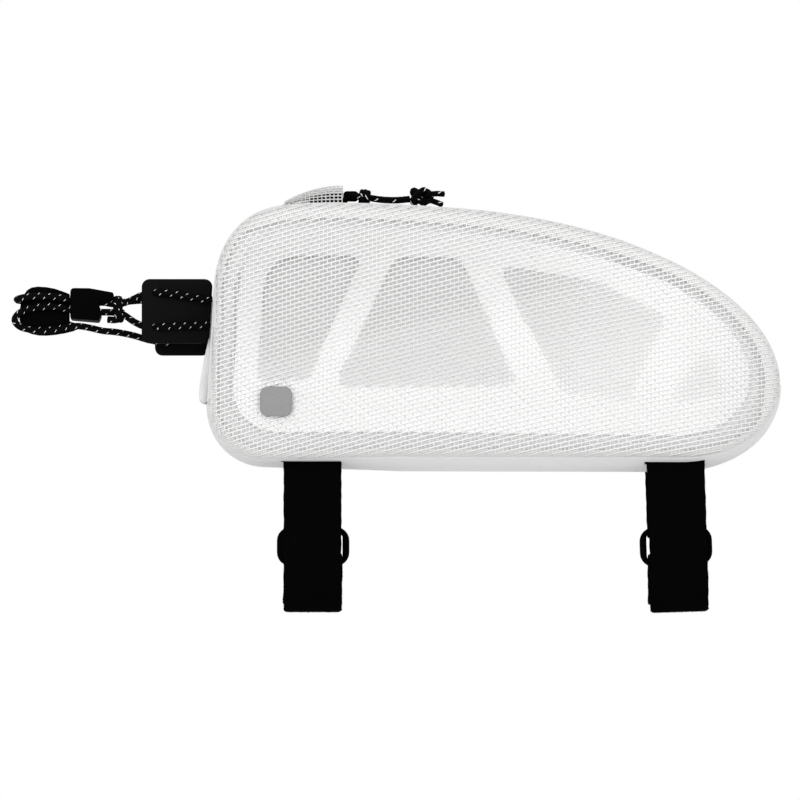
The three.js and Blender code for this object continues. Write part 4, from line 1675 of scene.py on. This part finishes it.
@dataclass
class ZipTop(Maker):
    """The zip, its slider, its hood and its cord pull.

    Attributes:
        weave: The cloth of the hood.
        tape_half: Half the width of the tape.
        coil_pitch: Distance from turn to turn of the coil.
        coil_turn: Middle line of one side's turn.
        hood_span: First and last place of the hood along X.
        hood_half: Half its width.
        hood_girth: Its length across, along the weave.
        leg: Near leg of the pull's cord, from the knot to the slider's tab. The far leg is its mirror image.
        bight: Where the two legs meet, round the tab.
        knot_at: Middle of the end knot.
        tails: The cord's two cut ends.
    """

    weave: Weave = field(default_factory=Weave)
    tape_half: float = 10.0
    coil_pitch: float = 1.2
    coil_turn: tuple[Place, ...] = ((0, -2.3, -0.3), (0.25, -1.5, 0.45), (0.25, 0.6, 0.45), (0, 1.2, -0.2))
    hood_span: FlatPlace = (-92.0, -65.0)
    hood_half: float = 10.0
    hood_girth: float = 31.0
    leg: tuple[Place, ...] = (
        (-35.8, -1.8, 119.2),
        (-42, -1.8, 118.7),
        (-48.5, -1.8, 119),
        (-53.9, -1.9, 119.8),
        (-58, -2.3, 120.3),
        (-60.6, -1.9, 120.5),
    )
    bight: Place = (-61.8, 0, 120.5)
    knot_at: Place = (-30.9, 0.0, 120.3)
    tails: tuple[tuple[Place, ...], ...] = (
        ((-29, -0.8, 120.8), (-24.5, -1.8, 121.4), (-20.6, -2.2, 121.2)),
        ((-29, 1.0, 119.2), (-24.8, 1.7, 118.2), (-21.4, 2.0, 116.9)),
    )

    def build(self) -> None:
        """Makes the zip and all that goes with it."""
        self.tape_and_coil()
        self.hood()
        self.slider()
        self.pull()

    def tape_and_coil(self) -> None:
        """The tape and the coil's turns."""
        line = SeamLine.of(TOP, 2.0)
        tape = line.sheet(-self.tape_half, self.tape_half, face=-1.45, thick=1.0, rows=9)
        self.fix(tape.object("tape", ZIP_TAPE), Slot.ZIP_CLOTH, "zip_tape")
        turn = tube(np.array(self.coil_turn), radius=0.33, sides=6)
        mirrored = turn.points * np.array([1, -1, 1]) + np.array([self.coil_pitch / 2, 0, 0])
        pair = joined([Form(turn.points, turn.faces), Form(mirrored, [face[::-1] for face in turn.faces])])
        along = np.linspace(1.0, line.along[-1] - 1.0, 160)
        path = line.surface(along, np.zeros_like(along), -0.3)
        coil = Repeats.along(path, pair, self.coil_pitch, ZIP_TEETH, "coil")
        self.fix(coil, Slot.ZIP_PLASTIC, "zip_coil")

    def hood(self) -> None:
        """The woven hood over the zip's front end, with a backing under its crown."""
        (first, last), girth = self.hood_span, self.hood_girth
        line = SeamLine.of((*TOP, "high_front"), 1.0)
        seam = line.at[np.argsort(line.at[:, 0])]

        def lay(points: np.ndarray) -> np.ndarray:
            """Bends flat points over the zip, higher towards the hood's open end.

            Args:
                points: Places along the hood, across its girth and out of its face.

            Returns:
                One row of three numbers per place.
            """
            rise = 1.6 + 7.2 * np.sin(ramp(points[:, 0], first, last) * math.pi / 2) ** 0.8
            rise = np.maximum(rise - MESH_WALL / 2 + points[:, 2], 0.2)
            base = np.interp(points[:, 0], seam[:, 0], seam[:, 1]) + MESH_WALL + GAP
            angle = math.pi * (1 - points[:, 1] / girth)
            wide = self.hood_half - MESH_WALL / 2 + points[:, 2]
            return np.column_stack([points[:, 0], wide * np.cos(angle), base + rise * np.sin(angle)])

        ends = (first, 0.0), (last, girth)
        form = self.weave.draped(*ends, within(*ends), lay)
        # Painted shade: the hood's yarn is darkened all over, to at least 0.4 of its deep colour.
        form.shade = np.maximum(0.6 * form.shade, 0.4)
        self.fix(form.object("hood_weave", YARN), Slot.MESH, "zip_garage")
        along, across = np.linspace(first + 0.3, last - 0.3, 24), np.linspace(0.2, 0.8, 13) * girth
        x, y = np.meshgrid(along, across, indexing="ij")
        flat = np.column_stack([x.ravel(), y.ravel(), np.full(x.size, -0.75)])
        backing = Form(lay(flat), grid_faces(*x.shape)).object("hood_backing", HOOD_BACKING)
        self.fix(backing, Slot.MESH)

    def slider(self) -> None:
        """The slider's body, the crown on its back and the tab that the cord goes through."""
        body = rounded_plate((17.0, 9.0), radius=2.2, thick=3.0, edge=0.8)
        body.points += np.array([-71.5, 0.0, 118.1])
        crown = rounded_plate((13.1, 2.7), radius=1.0, thick=4.8, edge=0.5)
        crown.points[:, 1] += 0.16 * (crown.points[:, 0] + 6.55) * (crown.points[:, 1] > 0)
        tab = rounded_plate((6.6, 4.6), radius=1.6, thick=1.4, edge=0.4)
        pieces = [body, crown.stood((-71.45, 0.0, 119.8)), tab.stood((-61.5, 0.0, 120.4))]
        self.fix(joined(pieces).object("slider", PLASTIC), Slot.PLASTIC, "zip_slider")

    def pull(self) -> None:
        """The cord pull, its hitch and its end knot."""
        back = [(x, -y, z) for x, y, z in reversed(self.leg)]
        line = smooth_route([*self.leg, self.bight, *back], CORD_STEP)
        cord = tube(line, PULL_DIAMETER / 2).object("pull_cord", PULL_CORD)
        self.fix(cord, Slot.CORD, "zip_pull_cord")
        turns = np.linspace(-1.2, 4 * math.pi + 1.2, 70)
        hitch = winding(turns, (-57.0, 0.0, 120.0), advance=3.2, wide=4.5, tall=2.5)
        wrap = tube(hitch, radius=1.1, sides=10).object("pull_hitch", PULL_CORD)
        self.fix(wrap, Slot.CORD, "zip_pull_hitch")
        t = np.linspace(0, 2 * math.pi, 120)
        ring = 2.3 + 1.1 * np.cos(3 * t)
        knot = np.column_stack([1.3 * ring * np.cos(2 * t), 1.1 * ring * np.sin(2 * t), 2.7 * np.sin(3 * t)])
        tied = tube(knot + np.array(self.knot_at), radius=1.35, sides=10)
        tails = [tube(smooth_route(tail, CORD_STEP), radius=1.25, sides=10) for tail in self.tails]
        piece = joined([tied, *tails]).object("pull_knot", PULL_CORD)
        self.fix(piece, Slot.CORD, "zip_pull_knot")
        self.cord(cord, line, PULL_DIAMETER, [wrap, piece])


@dataclass
class StemCord(Maker):
    """The pads, the elastic cord laced through them, and the hook and pull on its free end.

    Attributes:
        pads: Each pad's free end along X, lowest height and highest height.
        pad_y: Distance of a pad's middle from the bag's middle.
        laced: Near run that both strands share: x, y, upper strand's z and lower strand's z.
        starts: Where each strand leaves the bag.
        returns: Each strand's loop and its way back on the far side.
    """

    pads: dict[Side, Place] = field(
        default_factory=lambda: {Side.NEAR: (-152.8, 55.0, 83.2), Side.FAR: (-147.4, 51.2, 79.4)}
    )
    pad_y: float = 9.3
    laced: tuple[tuple[float, float, float, float], ...] = (
        (-128, -12.6, 74.3, 62.7),
        (-134, -12.5, 75.5, 62.5),
        (-141, -12.6, 76.7, 62.2),
        (-144.8, -12.2, 77.1, 62.1),
        (-147.6, -9.3, 77.2, 62.2),
        (-150.2, -6.4, 77, 62.5),
        (-153, -5.9, 76.4, 63.2),
        (-156.5, -5.4, 74.8, 65),
        (-160.9, -4.6, 73, 68),
        (-165.2, -4, 72.7, 69),
        (-170.4, -3.5, 73.7, 69.2),
        (-174, -3.4, 74.2, 69.3),
        (-179, -3.4, 74.3, 69.4),
        (-184.4, -3.4, 74.9, 70.3),
    )
    starts: tuple[Place, Place] = ((-122.3, -12.6, 73.4), (-122.9, -12.6, 62.8))
    returns: tuple[tuple[Place, ...], tuple[Place, ...]] = (
        (
            (-190, -3.5, 75.7),
            (-197.2, -3.8, 76.2),
            (-203.3, -4.3, 75.8),
            (-206.5, -3, 75.3),
            (-207.6, 0, 75),
            (-206.5, 3, 74.8),
            (-203.3, 4.3, 74.6),
            (-197.2, 3.8, 74.3),
            (-190, 3.5, 74.1),
            (-179, 3.4, 74.1),
            (-171, 3.4, 74),
            (-163, 4.2, 74.2),
            (-155, 5.4, 75),
            (-147, 6, 75.4),
            (-142.8, 6.6, 75.4),
            (-140, 9.3, 75.2),
            (-137.2, 12.1, 74.8),
            (-130, 12.6, 73.8),
            (-122.5, 12.6, 72.4),
        ),
        (
            (-190, -3.4, 71.5),
            (-196.4, -3.5, 71.6),
            (-202.6, -3.6, 70.5),
            (-206.9, -3.7, 68.4),
            (-208.4, -3.8, 65.6),
            (-206.3, -3.8, 62.9),
            (-201.4, -3.6, 61.5),
            (-195.3, -3.5, 61.2),
            (-189, -3.4, 61.9),
            (-183.5, -3.5, 63),
            (-179.5, -3.5, 63),
            (-175, -3.4, 62.2),
            (-170, -2.8, 61.1),
            (-164, -1.6, 60.6),
            (-157, 0.4, 59.4),
            (-150, 3.4, 57.6),
            (-143.2, 6.4, 56.7),
            (-140, 9.3, 56.8),
            (-137, 12.1, 57.3),
            (-130, 12.6, 58.4),
            (-123.3, 12.6, 59.6),
        ),
    )

    def build(self) -> None:
        """Makes the stem end's pieces."""
        for side in Side:
            self.pad(side, *self.pads[side])
        hook = self.rounded("cord_hook", "hook", PLASTIC, width=0.9, segments=4)
        self.fix(hook, Slot.PLASTIC, "cord_hook")
        leaf = self.rounded("pull_leaf", "leaf", PLASTIC, width=0.6, segments=3)
        self.fix(leaf, Slot.RUBBER, "pull_leaf")
        knot = self.knot()
        for i, (name, pieces) in enumerate((("upper", [hook, leaf]), ("lower", [knot]))):
            shared = [(x, y, z[i]) for x, y, *z in self.laced]
            self.strand(name, [self.starts[i], *shared, *self.returns[i]], pieces)
        self.tab()

    @staticmethod
    def face(z: np.ndarray | float) -> np.ndarray | float:
        """Where the front panel's face is along X, at some heights."""
        return np.interp(z, (28.0, 80.0), (-124.5, -121.6))

    def pad(self, side: Side, left: float, low: float, high: float) -> None:
        """A soft pad that stands forward of the front panel.

        Args:
            side: Which side.
            left: Its free end along X.
            low: Its lowest height.
            high: Its highest height.
        """
        middle = (low + high) / 2
        right = self.face(middle) - GAP
        plate = rounded_plate((right - left, high - low), radius=3.4, thick=2.6, edge=0.9)
        z = plate.points[:, 1] + middle
        share = plate.points[:, 0] / (right - left) + 0.5
        x = left + share * (self.face(z) - GAP - left)
        points = np.column_stack([x, side.value * (self.pad_y - plate.points[:, 2]), z])
        pad = Form(points, plate.faces).object(f"pad_{side.label}", RUBBER)
        self.fix(pad, Slot.RUBBER, f"stem_pad_{side.label}")

    def tab(self) -> None:
        """The pale tab under the pads, its sides closed."""
        half, top, bend, foot, sewn, thick = 7.5, 74.0, 56.0, 29.6, 0.4, 0.9
        path = FlatPath((self.face(top) + sewn, top)).line((self.face(top) - thick, top))
        path.line((self.face(bend) - thick, bend)).curve((-126.8, 44.0), (-127.9, 33.0))
        path.curve((-128.0, 29.8), (-125.4, 29.5)).line((self.face(foot) + sewn, foot))
        outline = path.sampled(0.7)
        back = np.column_stack([self.face(outline[:, 1]) + sewn, outline[:, 1]])
        edge = [(1.0, 0.0), (1.0, half - 0.9), (0.97, half - 0.4), (0.9, half - 0.1), (0.8, half)]
        rings = []
        for share, level in [(share, -level) for share, level in reversed(edge)] + edge:
            flat = back + (outline - back) * share
            rings.append(np.column_stack([flat[:, 0], np.full(len(flat), level), flat[:, 1]]))
        count = len(outline)
        faces = grid_faces(len(rings), count, wrap=True)
        faces.append(tuple(range(count)))
        faces.append(tuple((len(rings) - 1) * count + j for j in reversed(range(count))))
        piece = Form(np.vstack(rings), faces).object("tab", SMOOTH)
        build = bmesh.new()
        build.from_mesh(piece.data)
        bmesh.ops.recalc_face_normals(build, faces=build.faces)
        build.to_mesh(piece.data)
        build.free()
        self.fix(piece, Slot.SMOOTH, "front_tab")

    def strand(self, name: str, route: Sequence[Place], pieces: Sequence[bpy.types.Object]) -> None:
        """One length of elastic cord.

        Args:
            name: Which one.
            route: The points it follows.
            pieces: What is on it.
        """
        line = smooth_route(route, 0.7)
        cord = tube(line, CORD_DIAMETER / 2).object(f"cord_{name}", CORD)
        self.fix(cord, Slot.CORD, f"shock_cord_{name}")
        self.cord(cord, line, CORD_DIAMETER, pieces)

    def knot(self) -> bpy.types.Object:
        """A tight double turn of cord round the two near strands, with its cut end under them.

        Returns:
            The knot.
        """
        turns = np.linspace(0, 4 * math.pi, 90)
        line = winding(turns, (-164.2, -4.4, 70.4), advance=2.4, wide=3.5, tall=4.6)
        end = smooth_route([(-167.6, -6.2, 65.7), (-164.8, -6.8, 65.5), (-162.0, -6.4, 66.0)], CORD_STEP)
        knot = joined([tube(line, radius=1.4), tube(end, radius=1.5)])
        return self.fix(knot.object("knot", CORD), Slot.CORD, "cord_knot")


@dataclass
class StrapSet(Maker):
    """One strap loop with its ring and keeper.

    Attributes:
        end: Which strap.
        x: Middle of the strap along X.
        lean: Lean about Y, in radians.
        top: Height of its root.
        width: Width of the webbing.
        thick: Thickness of the strap.
        slit: Distance of the slit and of the ring from the bag's middle.
        foot: Lowest height of the loop.
        sewn: How far the webbing goes up inside the bottom cloth.
        ring_z: Height of the ring's middle.
        ring_size: Width and height of the ring.
        ring_thick: Thickness of the ring and of its bars.
        fibre_density: Fibres per square millimetre.
        fibre_lean: Largest lean of a fibre, in radians.
    """

    end: str
    x: float
    lean: float
    top: float
    width: float = 25.3
    thick: float = 2.0
    slit: float = 19.0
    foot: float = -62.0
    sewn: float = 1.3
    ring_z: float = -32.0
    ring_size: FlatPlace = (31.8, 17.2)
    ring_thick: float = 3.0
    fibre_density: float = 1.6
    fibre_lean: float = 1.0

    def build(self) -> None:
        """Makes the strap, its fibres, its ring and its keeper."""
        form = self.strap()
        self.fix(form.object(f"webbing_{self.end}", STRAP), Slot.STRAP, f"strap_{self.end}")
        corners = np.array([[0.05, 0, 0], [-0.03, 0.045, 0], [-0.03, -0.045, 0], [0.1, 0.05, 0.75]])
        fibre = Form(corners, [(0, 1, 3), (1, 2, 3), (2, 0, 3)])
        name = f"fibres_{self.end}"
        fibres = Repeats.over(form, fibre, self.fibre_density, self.fibre_lean, STRAP, name)
        self.fix(fibres, Slot.STRAP)
        hole = (self.width + 0.4, 11.2, 1.6)
        plate = rounded_plate(self.ring_size, radius=6.0, thick=self.ring_thick, edge=1.2, hole=hole)
        ring = self.placed(plate.stood((0, self.slit, self.ring_z)))
        self.fix(ring.object(f"loop_ring_{self.end}", PLASTIC), Slot.PLASTIC, f"ring_{self.end}")
        self.keeper()
        self.slit_edge()

    def placed(self, form: Form) -> Form:
        """Leans a form about Y and moves it to the strap's place.

        Args:
            form: A form about the strap's own middle.

        Returns:
            The form on the bag.
        """
        x, y, z = form.points.T
        turned = x * math.cos(self.lean) + z * math.sin(self.lean) + self.x
        return Form(
            np.column_stack([turned, y, -x * math.sin(self.lean) + z * math.cos(self.lean)]), form.faces
        )

    def keeper(self) -> None:
        """The short webbing that holds the ring, round its upper bar."""
        slit, eye, half_gap = self.slit, 2.6, 1.1
        top, bar = self.top + self.sewn, self.ring_z + self.ring_size[1] / 2 - self.ring_thick / 2
        path = FlatPath((slit - half_gap, top))
        path.curve((slit - half_gap, bar + 8), (slit - eye, bar + 4), (slit - eye, bar))
        path.arc((slit, bar), eye, math.pi, 2 * math.pi)
        path.curve((slit + eye, bar + 4), (slit + half_gap, bar + 8), (slit + half_gap, top))
        form = self.placed(self.band(path.sampled(0.8), width=self.width - 0.3, thick=1.4))
        self.fix(form.object(f"keeper_{self.end}", STRAP), Slot.STRAP, f"ring_keeper_{self.end}")

    def slit_edge(self) -> None:
        """Black strip along the strap's slit: the strap's own black and painted shadow in the opening."""
        line = SeamLine.of(UNDERSIDE, 2.5)
        along = np.interp(self.x + np.linspace(-13.6, 12.4, 24), line.at[:, 0], line.along)
        across = -self.slit + np.array([-1.4, -0.9, 0.2, 1.0])
        # Painted shadow in the slit's opening, laid in the strap's black finish.
        form = line.wall(along, across, face=0.12, thick=0.32)
        self.fix(form.object(f"slit_{self.end}", STRAP), Slot.STRAP)

    def path(self) -> np.ndarray:
        """The strap's middle line in the Y-Z plane.

        Returns:
            One row per sample.
        """
        slit = self.slit
        bar = self.ring_z - self.ring_size[1] / 2 + self.ring_thick / 2
        turn = self.ring_thick * math.sqrt(0.5) + GAP + self.thick / 2
        far = slit - turn
        bend = (slit + far) / 2
        middle = (far - bend, self.foot + self.thick / 2 + bend)
        lap = bend + self.thick + GAP
        lap_from, lap_to = -0.35, -0.75
        start = (middle[0] + lap * math.cos(lap_from), middle[1] + lap * math.sin(lap_from))
        path = FlatPath((-slit, self.top + self.sewn)).line((-slit, middle[1]))
        path.arc(middle, bend, math.pi, 2 * math.pi).line((far, bar))
        path.arc((slit, bar), turn, math.pi, 0)
        path.curve((slit + turn, bar - 6), (start[0] + 1.4, start[1] + 3.8), start)
        path.arc(middle, lap, lap_from, lap_to)
        return path.sampled(1.0)

    @staticmethod
    def band(line: np.ndarray, width: float, thick: float) -> Form:
        """Webbing along a line in the Y-Z plane, with slightly uneven, thinned edges.

        Args:
            line: Its middle line.
            width: Its width, along X.
            thick: Its thickness.

        Returns:
            The closed webbing.
        """
        along = directions(line)
        across = np.column_stack([-along[:, 1], along[:, 0]])
        steps = np.arange(len(line))
        wobble = 0.07 * np.sin(steps * 0.9) + 0.06 * np.sin(steps * 0.37 + 1)
        shares = np.linspace(-1, 1, 27)
        edge = np.sqrt(np.clip(1 - np.abs(shares) ** 24, 0, 1))
        half = thick / 2 * (0.35 + 0.65 * edge)
        x = shares * (width / 2 - 0.1 + wobble)[:, None]
        grids = []
        for sign in (1, -1):
            yz = line[:, None] + across[:, None] * (sign * half)[None, :, None]
            grids.append(np.concatenate([x[..., None], yz], axis=-1))
        return slab(*grids)

    def strap(self) -> Form:
        """The long webbing, whose lapped end lies a little to one side.

        Returns:
            The closed strap, in its place.
        """
        line = self.path()
        form = self.band(line, self.width, self.thick)
        columns = len(form.points) // (2 * len(line))
        drift = np.interp(np.linspace(0, 1, len(line)), (0.0, 0.55, 0.75, 1.0), (0.0, 0.0, 0.4, -0.7))
        form.points[:, 0] += np.tile(np.repeat(drift, columns), 2)
        return self.placed(form)


@dataclass
class Studio:
    """The floor, the light and the camera.

    Attributes:
        pixel: Millimetres per picture dot at the near seam.
        dots: Picture dots across.
        distance: From the camera to the near seam, in millimetres.
        tilt: How far the camera looks up, in degrees.
        centre: What the camera looks at.
        surround: Strength of the white surround's light.
        boxes: Place in metres, size in metres and power of each soft box.
    """

    pixel: float = 0.4348
    dots: int = 800
    distance: float = 4500.0
    tilt: float = 4.5
    centre: Place = (-40.0, -25.0, 29.0)
    surround: float = 1.04
    boxes: dict[str, tuple[Place, float, float]] = field(
        default_factory=lambda: {
            "key": ((-0.5, -1.6, 0.7), 1.2, 14.0),
            "fill": ((1.2, -1.4, 0.3), 1.0, 6.0),
        }
    )

    def build(self) -> None:
        """Makes the studio."""
        self.floor()
        self.world()
        self.lights()
        self.camera()

    def floor(self) -> None:
        """A plain pale floor, well under the hanging bag."""
        reach, low = 6e3, -420.0
        corners = [(-reach, -reach, low), (reach, -reach, low), (reach, reach, low), (-reach, reach, low)]
        Form(np.array(corners), [(0, 1, 2, 3)]).object("floor", FLOOR)

    def world(self) -> None:
        """A white surround that lights softly."""
        world = bpy.data.worlds.new("Studio")
        world.use_nodes = True
        world.node_tree.nodes.clear()
        nodes = Nodes(world.node_tree)
        seen = nodes.add("ShaderNodeBackground", {"Color": WHITE})
        light = nodes.add("ShaderNodeBackground", {"Color": WHITE, "Strength": self.surround})
        ray = nodes.add("ShaderNodeLightPath").outputs["Is Camera Ray"]
        both = {"Fac": ray, 1: light.outputs["Background"], 2: seen.outputs["Background"]}
        mix = nodes.add("ShaderNodeMixShader", both)
        nodes.add("ShaderNodeOutputWorld", {"Surface": mix.outputs["Shader"]})
        bpy.context.scene.world = world

    def lights(self) -> None:
        """Two soft boxes."""
        aim = Vector((0, 0, 0.05))
        for name, (place, size, power) in self.boxes.items():
            data = bpy.data.lights.new(name, "AREA")
            data.size = size
            data.energy = power
            lamp = linked(name, data)
            lamp.location = place
            lamp.rotation_euler = (aim - Vector(place)).to_track_quat("-Z", "Y").to_euler()

    def camera(self) -> None:
        """A long lens, square on and a little below."""
        data = bpy.data.cameras.new("camera")
        data.sensor_width = 36.0
        data.lens = data.sensor_width * self.distance / (self.dots * self.pixel)
        data.clip_end = 100.0
        camera = linked("camera", data)
        angle = math.radians(self.tilt)
        look = Vector((0, math.cos(angle), math.sin(angle)))
        camera.location = (Vector(self.centre) - look * self.distance) * MM
        camera.rotation_euler = look.to_track_quat("-Z", "Y").to_euler()
        bpy.context.scene.camera = camera
        bpy.context.scene.view_settings.view_transform = "Standard"


def main() -> None:
    """Builds the bag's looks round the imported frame."""
    logging.basicConfig(level=logging.INFO)
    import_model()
    parts = [
        MeshBody(),
        ZipTop(),
        StemCord(),
        StrapSet("front", -78.1, 0.0, 1.9),
        StrapSet("rear", 80.0, math.radians(-1.8), 1.3),
    ]
    for part in parts:
        part.build()
        LOG.info("made %s", type(part).__name__)
    Studio().build()


if __name__ == "__main__":
    main()
